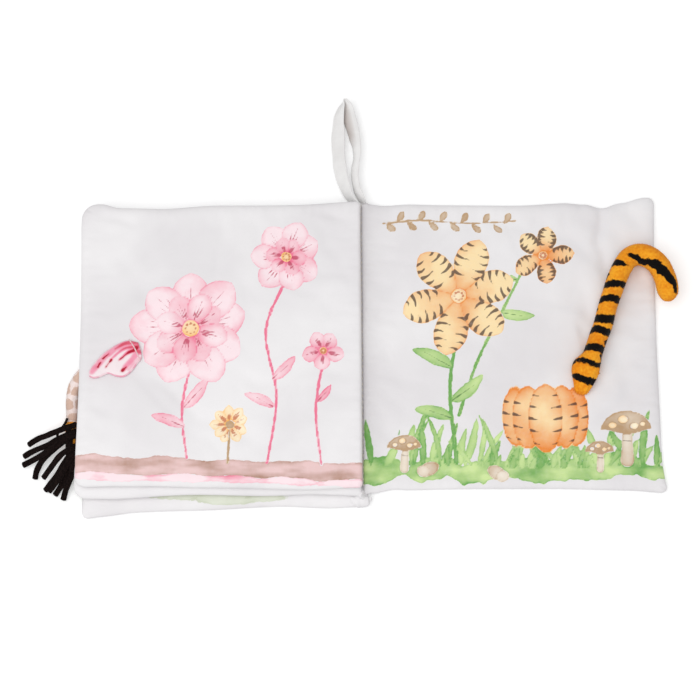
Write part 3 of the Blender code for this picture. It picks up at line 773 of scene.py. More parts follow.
def bars(page, at, ahead, aside, reach, bend, width):
    """Dark wedges across a petal, from either edge towards a gap that wanders about its middle."""
    drawn = []
    for j, share in enumerate((0.36, 0.50, 0.63, 0.76, 0.88)):
        middle = at + ahead * (reach * share) + aside * (bend * reach * share**2)
        half = width * reach * math.sin(math.pi * share**1.5) ** 0.6
        for s in (-1, 1):
            rim = middle + aside * (half * s * 1.05) + ahead * (0.02 * reach)
            inner = middle + aside * (half * (0.30 * s + (0.16 if j % 2 else -0.16)))
            drawn.append(stroke(page, [rim, (rim + inner) / 2 - ahead * (0.02 * reach), inner], 2.9, 0.6))
    return np.maximum.reduce(drawn)


def blossom(sheet, page, wash, x, y, reach, petals, turn=0.0, tone=0.1, width=0.3, marks="veins"):
    """A flower of equal petals, every other one behind, deeper towards its heart."""
    away = np.hypot(page[0] - x, page[1] - y)
    deeper = tone + 0.6 * np.exp(-((away / (0.36 * reach)) ** 2))
    at = np.array([x, y])
    for k in [*range(0, petals, 2), *range(1, petals, 2)]:
        heading = turn + 2 * math.pi * k / petals + 0.08 * math.sin(5 * k + turn)
        ahead = np.array([math.cos(heading), math.sin(heading)])
        aside = np.array([-ahead[1], ahead[0]])
        bend = 0.12 * math.sin(3 * k + turn)
        long = reach * (1 - 0.10 * math.sin(2 * k + 1 + turn) ** 2)
        shape = petal(page, x, y, long, reach * width, heading, bend)
        if marks == "bars":
            line = bars(page, at, ahead, aside, long, bend, width)
        else:
            line = veins(page, at, ahead, aside, long, bend)
        paint(sheet, wash, shape, deeper, line)


def heart(sheet, page, x, y, reach):
    """A blossom's pale round middle with a ring of dots."""
    dots = [
        oval(page, x + reach * 0.58 * math.cos(t), y + reach * 0.58 * math.sin(t), 0.9, 0.9)
        for t in np.arange(8) * math.pi / 4
    ]
    paint(sheet, "cream", oval(page, x, y, reach, reach), 0.25, np.maximum.reduce(dots))


def blades(sheet, page, wash, low, high, ground, tall, seed, count):
    """Grass: broad leaves, bent to either side, that rise from the ground line."""
    draw = np.random.default_rng(seed)
    for x in np.linspace(low, high, count):
        length = tall * draw.uniform(0.35, 1)
        heading = math.pi / 2 + draw.uniform(-0.6, 0.6)
        half = draw.uniform(1.6, 3.0)
        foot = x + draw.uniform(-3, 3)
        shape = petal(page, foot, ground, length, half, heading, draw.uniform(-0.3, 0.3), 0.8)
        paint(sheet, wash, shape, draw.uniform(-0.1, 0.6), rim=0.25)


def ground_strip(sheet, page, wash, low, high, rough, seed, tone=0.5, lean=0.0, rim=0.3):
    """A washed strip across the page, leaning a little, its edges wandering and its tone mottled."""
    middle, half = (low + high) / 2 + lean * page[0], (high - low) / 2
    half = half + rough * 0.8 * ripple(page[0] / 1000, page[1] / 4000, seed + 2, 0.07, 4)
    wander = ripple(page[0] / 1000, page[1] / 4000, seed, 0.05, 4) * rough
    mottled = tone + 0.45 * ripple(page[0] / 2200, page[1] / 700, seed + 1, 0.02, 4)
    paint(sheet, wash, half - np.abs(page[1] - middle - wander), mottled, rim=rim)


def leaves(sheet, page, wash, places):
    """Narrow leaves with a midrib: where each starts, how long it is and where it heads."""
    for x, y, length, heading in places:
        shape = petal(page, x, y, length, length * 0.17, heading, 0.2, 0.9)
        long, towards = 0.75 * length, heading + 0.12
        tip = (x + long * math.cos(towards), y + long * math.sin(towards))
        paint(sheet, wash, shape, 0.15, stroke(page, [(x, y), tip], 1.1, 0.4))


def toadstool(sheet, page, x, y, height, tone=0.1):
    """A stalk with a ring and a domed cap with pale spots."""
    stalk = stroke(page, [(x, y), (x + 0.5, y + height * 0.6)], height * 0.26, height * 0.19)
    ring = [(x - height * 0.12, y + height * 0.42), (x + height * 0.13, y + height * 0.40)]
    paint(sheet, "sand", stalk, tone, stroke(page, ring, 1.0))
    cap_y = y + height * 0.60
    cap = oval(page, x, cap_y, height * 0.52, height * 0.44)
    lip = 0.05 * height * np.cos((page[0] - x) / height * 6)
    cap = np.minimum(cap, page[1] - cap_y + lip)
    lit = (page[1] - cap_y) / (0.4 * height) + 0.3 * (x - page[0]) / height
    paint(sheet, "sand", cap, tone + 0.75 - 0.5 * smoothstep(lit))
    spots = (-0.28, 0.14, 0.055), (-0.06, 0.26, 0.075), (0.16, 0.12, 0.06), (0.33, 0.16, 0.04)
    for s, up, size in spots:
        spot = oval(page, x + s * height, cap_y + up * height, size * height * 1.2, size * height)
        paint(sheet, "cream", spot, 0.0, rim=0.1)


def left_spread(sheet, page):
    """Leaf 3's front: pink blossoms on long stems; the sewn flap lies like the largest one's petal."""
    ground_strip(sheet, page, "pink", -103.5, -94, 1.0, 43, 0.0, -0.030, 0.05)
    ground_strip(sheet, page, "earth", -99.5, -87.5, 1.3, 41, 0.22, -0.030, 0.22)
    for knots in (
        [(-120, -20), (-125, -50), (-121, -84)],
        [(-54, 44), (-68, 6), (-60, -40), (-66, -87)],
        [(-28, -14), (-33, -50), (-29, -88)],
    ):
        paint(sheet, "pink", stroke(page, knots, 1.9, 1.7), 0.55)
    places = (
        (-124, -48, 26, 0.7),
        (-123, -62, 24, 2.6),
        (-63, -28, 22, 0.6),
        (-62, -48, 22, 2.5),
        (-32, -44, 15, 0.7),
    )
    leaves(sheet, page, "pink", places)
    blossom(sheet, page, "pink", -120, 8, 43, 9, 0.25, 0.0, 0.30)
    blossom(sheet, page, "pink", -120, 8, 27, 8, 0.5, 0.12, 0.32)
    heart(sheet, page, -120, 8, 6.0)
    blossom(sheet, page, "pink", -54, 60, 27, 7, 0.4, 0.0, 0.34)
    blossom(sheet, page, "pink", -54, 60, 15, 6, 0.9, 0.2, 0.36)
    heart(sheet, page, -54, 60, 3.8)
    blossom(sheet, page, "pink", -28, -8, 15, 5, 0.9, 0.1, 0.38)
    heart(sheet, page, -28, -8, 2.6)
    blossom(sheet, page, "cream", -92, -60, 14, 9, 0.3, 0.0, 0.26)
    paint(sheet, "sand", oval(page, -92, -60, 3.2, 3.0), 0.8)
    paint(sheet, "sand", stroke(page, [(-92, -64), (-93, -87)], 1.5), 0.7)


def right_spread(sheet, page):
    """Leaf 4's front: barred orange lilies, and a ribbed gourd in the grass below the sewn tail."""
    ground_strip(sheet, page, "green", -97, -80, 4.5, 51, 0.3)
    blades(sheet, page, "green", 8, 204, -86, 44, 52, 42)
    paint(sheet, "green", stroke(page, [(67, 14), (60, -30), (64, -84)], 2.2, 2.8), 0.55)
    paint(sheet, "green", stroke(page, [(118, 66), (100, 30), (80, -10), (66, -50)], 1.6, 2.2), 0.45)
    places = (
        (62, -16, 30, 2.5),
        (61, -40, 28, 0.5),
        (96, 24, 24, -0.3),
        (61, -52, 26, 2.7),
        (108, 48, 18, 2.9),
    )
    leaves(sheet, page, "green", places)
    blossom(sheet, page, "orange", 67, 36, 44, 6, 0.25, 0.0, 0.27, "bars")
    heart(sheet, page, 67, 36, 5.2)
    blossom(sheet, page, "orange", 127, 66, 23, 5, 1.2, 0.1, 0.30, "bars")
    heart(sheet, page, 127, 66, 3.2)
    for offset, width in ((-21, 9), (21, 9), (-12, 11), (12, 11), (0, 12)):
        middle = 126 + offset
        rib = oval(page, middle, -52 + abs(offset) * 0.05, width, 24 - abs(offset) * 0.15)
        marks = [
            stroke(page, [(middle + s * width, y), (middle + s * width * 0.35, y - 1.6)], 2.8, 0.5)
            for s in (-1, 1)
            for y in np.arange(-69 + offset % 5, -34, 8.5)
        ]
        light = 0.55 * np.exp(-(((page[0] - 122) / 16) ** 2) - ((page[1] + 46) / 16) ** 2)
        paint(sheet, "orange", rib, 0.55 - light, np.maximum.reduce(marks))
    blades(sheet, page, "green", 92, 160, -88, 22, 54, 14)
    toadstool(sheet, page, 182, -82, 34)
    toadstool(sheet, page, 163, -88, 19, 0.15)
    toadstool(sheet, page, 28, -88, 23, 0.1)
    for x, y, turn in ((45, -88, 0.4), (92, -91, 2.6)):
        paint(sheet, "sand", oval(page, x, y, 7.0, 4.6, turn), 0.35)
        paint(sheet, "sand", oval(page, x - 4 * math.cos(turn), y - 4 * math.sin(turn), 4.6, 4.0), 0.1)
    paint(sheet, "sand", stroke(page, [(14, 90), (40, 92), (74, 90), (108, 92)], 1.1), 0.7)
    for k in range(12):
        x = 16 + 7.6 * k
        heading = 0.9 if k % 2 else -0.9
        paint(sheet, "sand", petal(page, x, 90.5 + math.sin(k / 2), 9, 2.4, heading, 0.1), 0.55)


def meadow(sheet, page, seed, ground, bloom, rise=16):
    """A spread that doesn't show at rest: a strip of ground, grass and a few blossoms."""
    draw = np.random.default_rng(seed)
    middle = (page[0].max() + page[0].min()) / 2
    base = page[1].min() + rise
    ground_strip(sheet, page, ground, base - 5, base + 8, 2.5, seed, 0.4)
    blades(sheet, page, ground, middle - 88, middle + 88, base, 30, seed + 1, 22)
    for k in range(4):
        x = middle - 66 + 44 * k + draw.uniform(-8, 8)
        y = base + 62 + 60 * draw.uniform(0, 1)
        stem = [(x, y), (x + draw.uniform(-8, 8), (y + base) / 2), (x, base)]
        paint(sheet, "green", stroke(page, stem, 2.2), 0.5)
        size = draw.uniform(18, 28)
        blossom(sheet, page, bloom, x, y, size, 6, draw.uniform(0, 1), 0.05, 0.32)
        heart(sheet, page, x, y, size * 0.15)


def pale_patch(sheet, page):
    """Leaf 1's front: a pale wash shows below the leaves above it."""
    meadow(sheet, page, 61, "green", "orange", 38)
    for x, y, width, height in ((-104, -107.2, 42, 3.2), (-94, -108.6, 24, 4.6), (-68, -108, 14, 2.8)):
        paint(sheet, "sage", oval(page, x, y, width, height), 0.0, rim=0.12)


# The prints' colours: pale, deep and line
WASHES = {
    "sage": (tint(220, 224, 208), tint(182, 190, 160), tint(120, 130, 96)),
    "green": (tint(208, 232, 158), tint(106, 168, 78), tint(66, 118, 52)),
    "earth": (tint(234, 200, 198), tint(178, 138, 120), tint(112, 74, 66)),
    "sand": (tint(244, 234, 218), tint(188, 154, 116), tint(88, 62, 48)),
    "cream": (tint(254, 244, 216), tint(246, 182, 88), tint(196, 104, 60)),
    "pink": (tint(250, 228, 233), tint(238, 116, 148), tint(192, 52, 88)),
    "orange": (tint(253, 226, 174), tint(236, 136, 44), tint(56, 34, 24)),
}


def printed_cloth():
    """Page cloth with soft printed washes, each read from three numbers on the mesh.

    The edge number is the distance inside the shape: noise roughens it, the wash starts where it
    passes 0, and pools darker just inside. The tone picks between the pale and the deep colour.
    """
    dye = Dye("page_print", 0.88, 0.15)
    ragged = dye.ease(dye.noise(0.0022, 2.0), 0.2, 0.8, -0.45, 0.45)
    mottle = dye.noise(0.011, 5.0)
    grain = dye.noise(0.0012, 2.0)
    colour = dye.mix(dye.ease(dye.noise(0.035), 0.3, 0.7), PAGE_PALE, PAGE_DUSK)
    for wash, (pale, deep, line) in WASHES.items():
        edge = dye.maths("ADD", dye.read(wash + "_edge"), ragged)
        pooled = dye.ease(edge, 0.1, 1.2, 0.28, 0.0)
        tone = dye.maths("ADD", dye.read(wash + "_tone"), pooled)
        tone = dye.maths("ADD", tone, dye.ease(mottle, 0.25, 0.75, -0.28, 0.28), clamp=True)
        washed = dye.mix(tone, pale, deep)
        drawn = dye.maths("ADD", dye.read(wash + "_line"), dye.maths("MULTIPLY", ragged, 0.6))
        washed = dye.mix(dye.ease(drawn, -0.2, 0.35, 0.0, 0.85), washed, line)
        shown = dye.maths("MULTIPLY", dye.ease(edge, -0.35, 0.15), dye.ease(grain, 0.1, 0.6, 0.86, 0.97))
        colour = dye.mix(shown, colour, washed)
    return dye.finish(colour, (dye.noise(0.004, 4.0), 0.00014), (dye.weave(0.0005), 0.00004))


page_print = printed_cloth()
SPREADS = {
    "leaf_1": (pale_patch, lambda sheet, page: meadow(sheet, page, 71, "green", "pink")),
    "leaf_2": (
        lambda sheet, page: meadow(sheet, page, 81, "earth", "pink", 27),
        lambda sheet, page: meadow(sheet, page, 91, "green", "orange"),
    ),
    "leaf_3": (left_spread, lambda sheet, page: meadow(sheet, page, 101, "earth", "orange")),
    "leaf_4": (right_spread, lambda sheet, page: meadow(sheet, page, 111, "green", "pink")),
}
leaf_tops = {}
for number, (leaf, (paint_front, paint_back)) in enumerate(SPREADS.items()):
    shown = leaf in ("leaf_3", "leaf_4")
    crush = simulated(3 + number, CRUSH_CELLS, LEAF_T)
    front, back = leaf_points(leaf, VISIBLE_CELL if shown else HIDDEN_CELL, crush)
    index = np.arange(front.shape[0] * front.shape[1]).reshape(front.shape[:2])
    points = np.concatenate([front.reshape(-1, 3), back[1:-1, 1:-1].reshape(-1, 3)])
    faces = pad_faces(index, index.size)
    if LEAVES[leaf][0] < 0:
        faces = [face[::-1] for face in faces]
    piece = add_piece(leaf + "_cover", points, faces, page_print)
    sheets = []
    for face, painted in ((front, paint_front), (back[1:-1, 1:-1], paint_back)):
        page = face[..., 0].ravel() * 1000, face[..., 1].ravel() * 1000
        sheet = {wash: np.zeros((3, page[0].size)) + [[OUTSIDE], [0], [OUTSIDE]] for wash in WASHES}
        painted(sheet, page)
        sheets.append(sheet)
    for wash in WASHES:
        both = np.concatenate([sheet[wash] for sheet in sheets], axis=1)
        for name, values in zip(("_edge", "_tone", "_line"), both):
            attribute(piece, wash + name, values)
    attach(piece, "book_base" if leaf == "leaf_1" else leaf)
    layers = ("front_panel", "back_panel", "wadding", "crinkle_film")
    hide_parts(*[f"{leaf}_{layer}" for layer in layers])
    leaf_tops[leaf] = front.reshape(-1, 3)


def rest_height(leaf, x, y):
    """How high the leaf's front lies under a point: its nearest points, weighted by closeness."""
    away = np.hypot(leaf_tops[leaf][:, 0] - x, leaf_tops[leaf][:, 1] - y)
    near = np.argsort(away)[:12]
    return float(np.average(leaf_tops[leaf][near, 2], weights=1 / (away[near] + 0.0005)))


# Hang loop. A strip of page cloth folded lengthwise and stitched, doubled over, its two ends sewn
# into the top of the spine. It leans to the left, with its upper edge turned to the right.

RIBBON_HALF_W = 0.005
RIBBON_HALF_T = 0.00075
LOOP_LENGTH = 0.0782
LOOP_SPREAD = 0.0115
LOOP_BASE_Z = 0.008
LOOP_FOOT_Y = 0.1038
LOOP_COLUMNS = 48
LOOP_STEP = 0.0006
# Where, in metres up the page, the painted shade on the loop's inner face fades in
INNER_SHADE_FROM_TO = (0.144, 0.158)

# How far along the loop, how far across and how high, as shares, and the strip's tilt and curl
LOOP_SHARES = (
    (0.000, 0.02, 1.00, 0.2, 0.2),
    (0.060, -0.20, 1.00, 0.4, 0.4),
    (0.150, -0.50, 1.00, 0.5, 0.7),
    (0.300, -0.63, 1.00, 0.5, 0.8),
    (0.520, -0.49, 1.00, 0.55, 0.8),
    (0.720, -0.70, 1.00, 1.15, 0.7),
    (0.860, -0.91, 1.00, 1.2, 0.6),
    (0.950, -1.08, 1.00, 0.85, 0.4),
    (0.990, -1.20, 1.00, 0.2, 0.1),
    (0.960, -1.34, 1.00, -0.4, 0.0),
    (0.880, -1.48, 0.95, -0.75, 0.0),
    (0.760, -1.56, 0.85, -0.95, 0.0),
    (0.600, -1.57, 0.80, -1.15, 0.0),
    (0.430, -1.51, 0.80, -1.2, 0.0),
    (0.280, -1.36, 0.85, -1.0, 0.0),
    (0.160, -1.10, 0.90, -0.75, 0.0),
    (0.060, -0.82, 1.00, -0.4, 0.0),
    (0.000, -0.46, 1.00, -0.1, 0.0),
)

along, across, high, tilt, curl = np.array(LOOP_SHARES).T
loop_knots = [across * LOOP_SPREAD, LOOP_FOOT_Y + along * LOOP_LENGTH, high * LOOP_BASE_Z, tilt, curl]
loop_path, loop_s = even_path(np.stack(loop_knots, axis=1), LOOP_STEP)


def loop_sections(s, curl):
    """A strip with full round edges, a groove by each edge where it is stitched, and ripples.

    Its width is bent to an arc that turns by the curl from its middle to either edge.
    """
    outline = round_section(LOOP_COLUMNS, 3.2)
    wide = outline[None, :, 1]
    thick = RIBBON_HALF_T * (1 - 0.35 * np.exp(-(((np.abs(wide) - 0.72) / 0.07) ** 2)))
    thick = outline[None, :, 0] * thick + ripple(s[:, None], wide * 0.004, 7, 0.022, 3) * 0.00045
    turn = curl[:, None] * wide
    reach = RIBBON_HALF_W * wide * (1 + 0.05 * ripple(s, 0 * s, 8, 0.03, 2)[:, None])
    aside = thick * np.cos(turn) - reach * np.sin(turn / 2) * np.sinc(turn / (2 * np.pi))
    upwards = thick * np.sin(turn) + reach * np.sinc(turn / np.pi)
    return np.stack([aside, upwards], axis=-1)


# Painted shade: the strip's inner face below the fold, where it turns away from the light, is painted a
# darker, browner grey
loop_tints = tint(240, 239, 238), tint(226, 224, 223)
loop_cloth = plain_cloth("loop_cloth", *loop_tints, "inner", tint(196, 188, 184))
loop_grid = swept(loop_path[:, :3], loop_sections(loop_s, loop_path[:, 4]), loop_path[:, 3])
hang_strap = add_tubes("hang_strap", [loop_grid], loop_cloth)
loop_round = round_section(LOOP_COLUMNS)
# Where the shade is painted: the lower half of the inner face, fading in along the loop
loop_inner_shade = smoothstep(loop_round[:, 0], -0.2, 0.3) * smoothstep(-loop_round[:, 1], -0.4, 0.2)
loop_inner_shade = loop_inner_shade[None] * smoothstep(loop_path[:, 1], *INNER_SHADE_FROM_TO)[:, None]
attribute(hang_strap, "inner", loop_inner_shade)
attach(hang_strap, "hang_loop")
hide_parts("hang_loop")


# Striped tail. A tube of short orange plush with black-brown stripes, stuffed, hooked over at its
# tip. Its root is gathered into pleats and sewn flat on the right-hand leaf.

STRIPED_R = 0.0072
STRIPED_RISE = 0.094
STRIPED_REACH = 0.0635
STRIPED_ROOT = (0.150, -0.030)
STRIPED_BED = 0.0075

# Out from the root, up from it, half width and half height, as shares
STRIPED_SHARES = (
    (0.012, -0.058, 0.30, 0.14),
    (0.015, -0.046, 0.56, 0.30),
    (0.021, -0.021, 0.74, 0.48),
    (0.036, 0.020, 0.98, 0.64),
    (0.050, 0.070, 1.20, 0.80),
    (0.064, 0.118, 1.32, 0.92),
    (0.092, 0.155, 1.20, 0.98),
    (0.124, 0.196, 1.00, 0.97),
    (0.150, 0.244, 0.90, 0.94),
    (0.212, 0.365, 0.90, 0.90),
    (0.265, 0.454, 0.90, 0.90),
    (0.315, 0.576, 0.89, 0.90),
    (0.378, 0.698, 0.93, 0.92),
    (0.441, 0.821, 0.97, 0.95),
    (0.531, 0.943, 0.95, 0.98),
    (0.614, 0.989, 0.99, 1.00),
    (0.720, 0.997, 1.03, 1.02),
    (0.829, 0.964, 1.06, 1.02),
    (0.912, 0.903, 1.08, 1.02),
    (0.968, 0.814, 1.08, 1.00),
    (0.990, 0.746, 1.06, 0.96),
    (0.994, 0.706, 0.98, 0.86),
    (0.993, 0.682, 0.78, 0.66),
    (0.992, 0.670, 0.42, 0.34),
)

out, rise, wide, tall = np.array(STRIPED_SHARES).T
striped_knots = np.stack(
    [
        STRIPED_ROOT[0] + out * STRIPED_REACH,
        STRIPED_ROOT[1] + rise * STRIPED_RISE,
        STRIPED_BED + tall * STRIPED_R + 0.0006 * smoothstep(rise, 0.2, 0.6),
        wide * STRIPED_R,
        tall * STRIPED_R,
    ],
    axis=1,
)
striped_path, striped_s = even_path(striped_knots, 0.0007)

# Stripes: distance along from the end of the root, half width, slant, the angle round the tube at
# their middle, and how far round they reach, in millimetres and radians
STRIPES = (
    (10.6, 2.5, -1.6, 1.9, 2.5),
    (22.2, 1.6, 6.0, 1.7, 2.8),
    (28.6, 2.2, 0.0, 3.05, 0.8),
    (32.8, 3.1, 2.6, 1.5, 3.2),
    (39.8, 2.8, 0.0, 3.1, 0.8),
    (46.8, 3.0, 3.4, 1.6, 3.4),
    (55.6, 3.4, 3.4, 1.6, 3.4),
    (61.6, 2.0, 0.0, -0.2, 0.7),
    (70.4, 2.8, 4.8, 1.6, 3.4),
    (81.6, 2.8, 4.6, 1.4, 3.2),
    (87.1, 2.6, 0.0, -0.15, 0.7),
    (94.9, 2.6, 6.0, 0.2, 2.1),
    (102.1, 3.4, 0.0, -0.4, 0.6),
)

# The long stripe down the hook: distance along, the angle round and half width
SPINE_STRIPE = (
    (104.2, 1.55, 1.9),
    (106.8, 1.85, 3.1),
    (110.2, 2.25, 3.4),
    (114.2, 2.60, 3.3),
    (118.2, 2.60, 3.0),
    (123.8, 2.20, 3.1),
    (130.1, 1.95, 3.5),
    (135.6, 1.75, 3.5),
    (141.2, 1.35, 3.3),
    (146.2, 1.00, 3.0),
    (150.2, 0.75, 1.8),
)


def striped_sections(s, path, columns):
    """A slightly squared oval, pleated at the root, its plush a little uneven."""
    outline = round_section(columns, 2.15)
    angle = np.arange(columns) * 2 * np.pi / columns
    sections = outline[None] * path[:, None, 3:5]
    pleat = np.cos(9 * angle + 0.6 * np.sin(2 * angle))[None] * np.exp(-s[:, None] / 0.008)
    x, y = s[:, None], angle[None] * STRIPED_R
    uneven = 0.018 * ripple(x, y, 12, 0.014, 3) + 0.035 * ripple(x, y, 13, 0.04, 2)
    return sections * (1 + 0.10 * pleat + uneven)[..., None]


def stripe_field(s, angle):
    """How far inside the nearest stripe a place on the tube is, in millimetres.

    A stripe narrows as the angle goes from its middle towards its reach, and slants.
    """
    s = s * 1000
    inside = np.full(np.broadcast(s, angle).shape, OUTSIDE)
    for place, half, slant, middle, reach in STRIPES:
        swing = (angle - middle + np.pi) % (2 * np.pi) - np.pi
        taper = 1 - (np.abs(swing) / reach) ** 2.5
        wander = 0.45 * np.sin(2.3 * swing + place) + slant * swing / np.pi
        inside = np.maximum(inside, half * taper - np.abs(s - place - wander))
    places, middles, halves = np.array(SPINE_STRIPE).T
    swing = (angle - np.interp(s, places, middles) + np.pi) % (2 * np.pi) - np.pi
    half = np.interp(s, places, halves) + 0.5 * np.sin(s / 1.25)
    lengthwise = half - np.abs(swing) * STRIPED_R * 1000
    lengthwise = np.minimum(lengthwise, np.minimum(s - places[0], places[-1] - s))
    return np.maximum(inside, lengthwise)


def plush(name, pale, deep, stripe, field):
    """Short plush: its tone from fine noise, and stripes where the mesh's number passes 0."""
    dye = Dye(name, 0.92, 0.1)
    dye.shader.inputs["Specular IOR Level"].default_value = 0.1
    tuft = dye.noise(0.0009, 3.0)
    lumps = dye.maths("MULTIPLY", dye.noise(0.006), 0.55)
    brushed = dye.maths("ADD", dye.maths("MULTIPLY", tuft, 0.45), lumps)
    colour = dye.mix(dye.ease(brushed, 0.3, 0.7), deep, pale)
    edge = dye.maths("ADD", dye.read(field), dye.ease(dye.noise(0.0012), 0.2, 0.8, -0.7, 0.7))
    colour = dye.mix(dye.ease(edge, -0.4, 0.5), colour, stripe)
    return dye.finish(colour, (tuft, 0.0002), (dye.noise(0.0003, 2.0), 0.0001))


striped_plush = plush("striped_plush", tint(250, 176, 44), tint(226, 128, 18), tint(12, 8, 6), "stripe")
STRIPED_COLUMNS = 84
striped_angle = np.arange(STRIPED_COLUMNS) * 2 * np.pi / STRIPED_COLUMNS
striped_grid = swept(striped_path[:, :3], striped_sections(striped_s, striped_path, STRIPED_COLUMNS))
striped_tube = add_tubes("striped_tail_tube", [striped_grid], striped_plush)
stripe_values = stripe_field(striped_s[:, None], striped_angle[None])
attribute(striped_tube, "stripe", stripe_values)
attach(striped_tube, "striped_tail")
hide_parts("striped_tail_cover", "striped_tail_filling")


def pile(name, grid, material, count, length, seed, fields, clothed=(0.0, 1.0)):
    """Short fibres on a tube: four-cornered spikes, rooted in it and combed towards its tip.

    A fibre's root is a random place on the grid, between its four points, and it leans from the
    tube's normal towards the way along it. The fields are numbers that the fibres take over, and
    clothed is the part of the way round on which they stand, in turns.
    """
    draw = np.random.default_rng(seed)
    rows, around = grid.shape[:2]
    row = draw.uniform(0.5, rows - 1.6, count)
    column = draw.uniform(*clothed, count) % 1.0 * around
    i, j = row.astype(int), column.astype(int)
    a, b = (row - i)[:, None], (column - j)[:, None]
    corner = [grid[i + di, (j + dj) % around] for di in (0, 1) for dj in (0, 1)]
    root = (1 - a) * ((1 - b) * corner[0] + b * corner[1]) + a * ((1 - b) * corner[2] + b * corner[3])
    combed = corner[2] - corner[0]
    beside = corner[1] - corner[0]
    combed /= np.linalg.norm(combed, axis=1, keepdims=True).clip(1e-9)
    beside /= np.linalg.norm(beside, axis=1, keepdims=True).clip(1e-9)
    normal = np.cross(beside, combed)
    lean = 0.75 * normal + 0.75 * combed + draw.normal(0, 0.28, (count, 3))
    lean /= np.linalg.norm(lean, axis=1, keepdims=True)
    reach = length * draw.uniform(0.6, 1.1, (count, 1))
    flat = np.cross(lean, beside)
    root = root - normal * 0.0002
    half = length * 0.085
    ring = [root + half * (beside * math.cos(t) + flat * math.sin(t)) for t in (0, 2.09, 4.19)]
    points = np.stack([*ring, root + lean * reach], axis=1)
    first = 4 * np.arange(count)[:, None, None]
    faces = first + np.array([[0, 1, 3], [1, 2, 3], [2, 0, 3], [2, 1, 0]])
    piece = add_piece(name, points, faces.reshape(-1, 3).tolist(), material)
    for field, values in fields.items():
        attribute(piece, field, np.repeat(values[i, j % around], 4))
    return piece


# The underside rubs on the page, so that no fibres stand there
STRIPED_CLOTHED = (-0.08, 0.58)
stripe_rows = {"stripe": stripe_values}
striped_pile = pile(
    "striped_tail_pile", striped_grid, striped_plush, 14500, 0.0010, 14, stripe_rows, STRIPED_CLOTHED
)
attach(striped_pile, "striped_tail")

# Short stitches round the root, in thread dyed to match the plush: where they stand, in metres
TACK_MIDDLE = (0.1516, -0.0290)
TACK_RADII = (0.0066, 0.0072)
orange_thread = thread_finish("orange_thread", tint(236, 160, 48), tint(206, 122, 28))
tack_grids = []
for place in np.linspace(math.radians(195), math.radians(345), 11):
    share = np.linspace(0.80, 1.03, 10)
    flat = np.array(TACK_MIDDLE) + share[:, None] * TACK_RADII * [math.cos(place), math.sin(place)]
    bed = rest_height("leaf_4", *flat[-1]) + 0.0003 * np.sin(np.pi * np.linspace(0, 1, 10)) ** 0.5
    path = np.concatenate([flat, bed[:, None]], axis=1)
    tack_grids.append(swept(path, np.broadcast_to(thread_round, (len(path), THREAD_COLUMNS, 2))))
tail_tack = add_tubes("striped_tail_stitches", tack_grids, orange_thread)
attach(tail_tack, "leaf_4")
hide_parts("striped_tail_tack")


# Pink tail flap. Two scalloped shapes of printed pink cloth, sewn together, turned and lightly
# padded, quilted along the streaks. Only its root is sewn down on the upper left-hand leaf.

FLAP_THICK = 0.0024
FLAP_UPPER = (
    (-156.1, -2.4),
    (-163.2, -1.0),
    (-170.3, -3.5),
    (-179.3, -9.4),
    (-186.0, -17.0),
    (-189.6, -23.4),
)
FLAP_LOWER = (
    (-153.6, -9.7),
    (-153.5, -14.0),
    (-156.6, -18.4),
    (-160.4, -23.4),
    (-165.2, -27.0),
    (-170.8, -26.6),
    (-176.0, -24.7),
    (-181.0, -26.8),
    (-185.6, -28.1),
    (-189.0, -26.8),
)

# Deep red streaks: each one's way in millimetres, and its widths at its start and end
STREAKS = (
    (((-176.2, -10.8), (-180.0, -14.0)), 0.8, 1.3),
    (((-181.4, -16.9), (-182.3, -18.3), (-183.3, -20.0)), 1.1, 1.5),
    (((-174.2, -15.2), (-175.4, -17.0), (-177.8, -20.4)), 1.5, 0.5),
    (((-156.8, -6.6), (-159.0, -8.4), (-163.0, -10.6), (-168.7, -15.4)), 2.6, 0.6),
    (((-163.9, -20.4), (-165.0, -21.6), (-166.2, -22.8)), 1.0, 2.0),
)

# The pink wash: ways and widths as the streaks', and how deep it is
BLUSHES = (
    (((-160.0, -3.4), (-170.0, -6.2), (-179.0, -13.2), (-184.2, -19.4), (-187.0, -23.6)), 6.4, 4.6, 0.50),
    (((-154.0, -2.6), (-160.0, -2.8), (-166.0, -4.0), (-171.5, -7.2)), 6.4, 3.0, 0.90),
    (((-156.0, -5.8), (-159.6, -6.0), (-165.2, -7.2), (-169.6, -10.4), (-174.2, -15.0)), 4.6, 1.5, 0.95),
    (((-154.8, -9.6), (-158.0, -8.4), (-163.0, -10.2), (-168.0, -14.6)), 4.6, 1.4, 1.0),
    (((-157.4, -12.2), (-161.0, -16.6), (-165.2, -21.4)), 5.0, 4.0, 0.58),
    (((-155.0, -13.4), (-158.8, -17.6), (-162.0, -21.6)), 4.0, 4.0, 0.36),
)


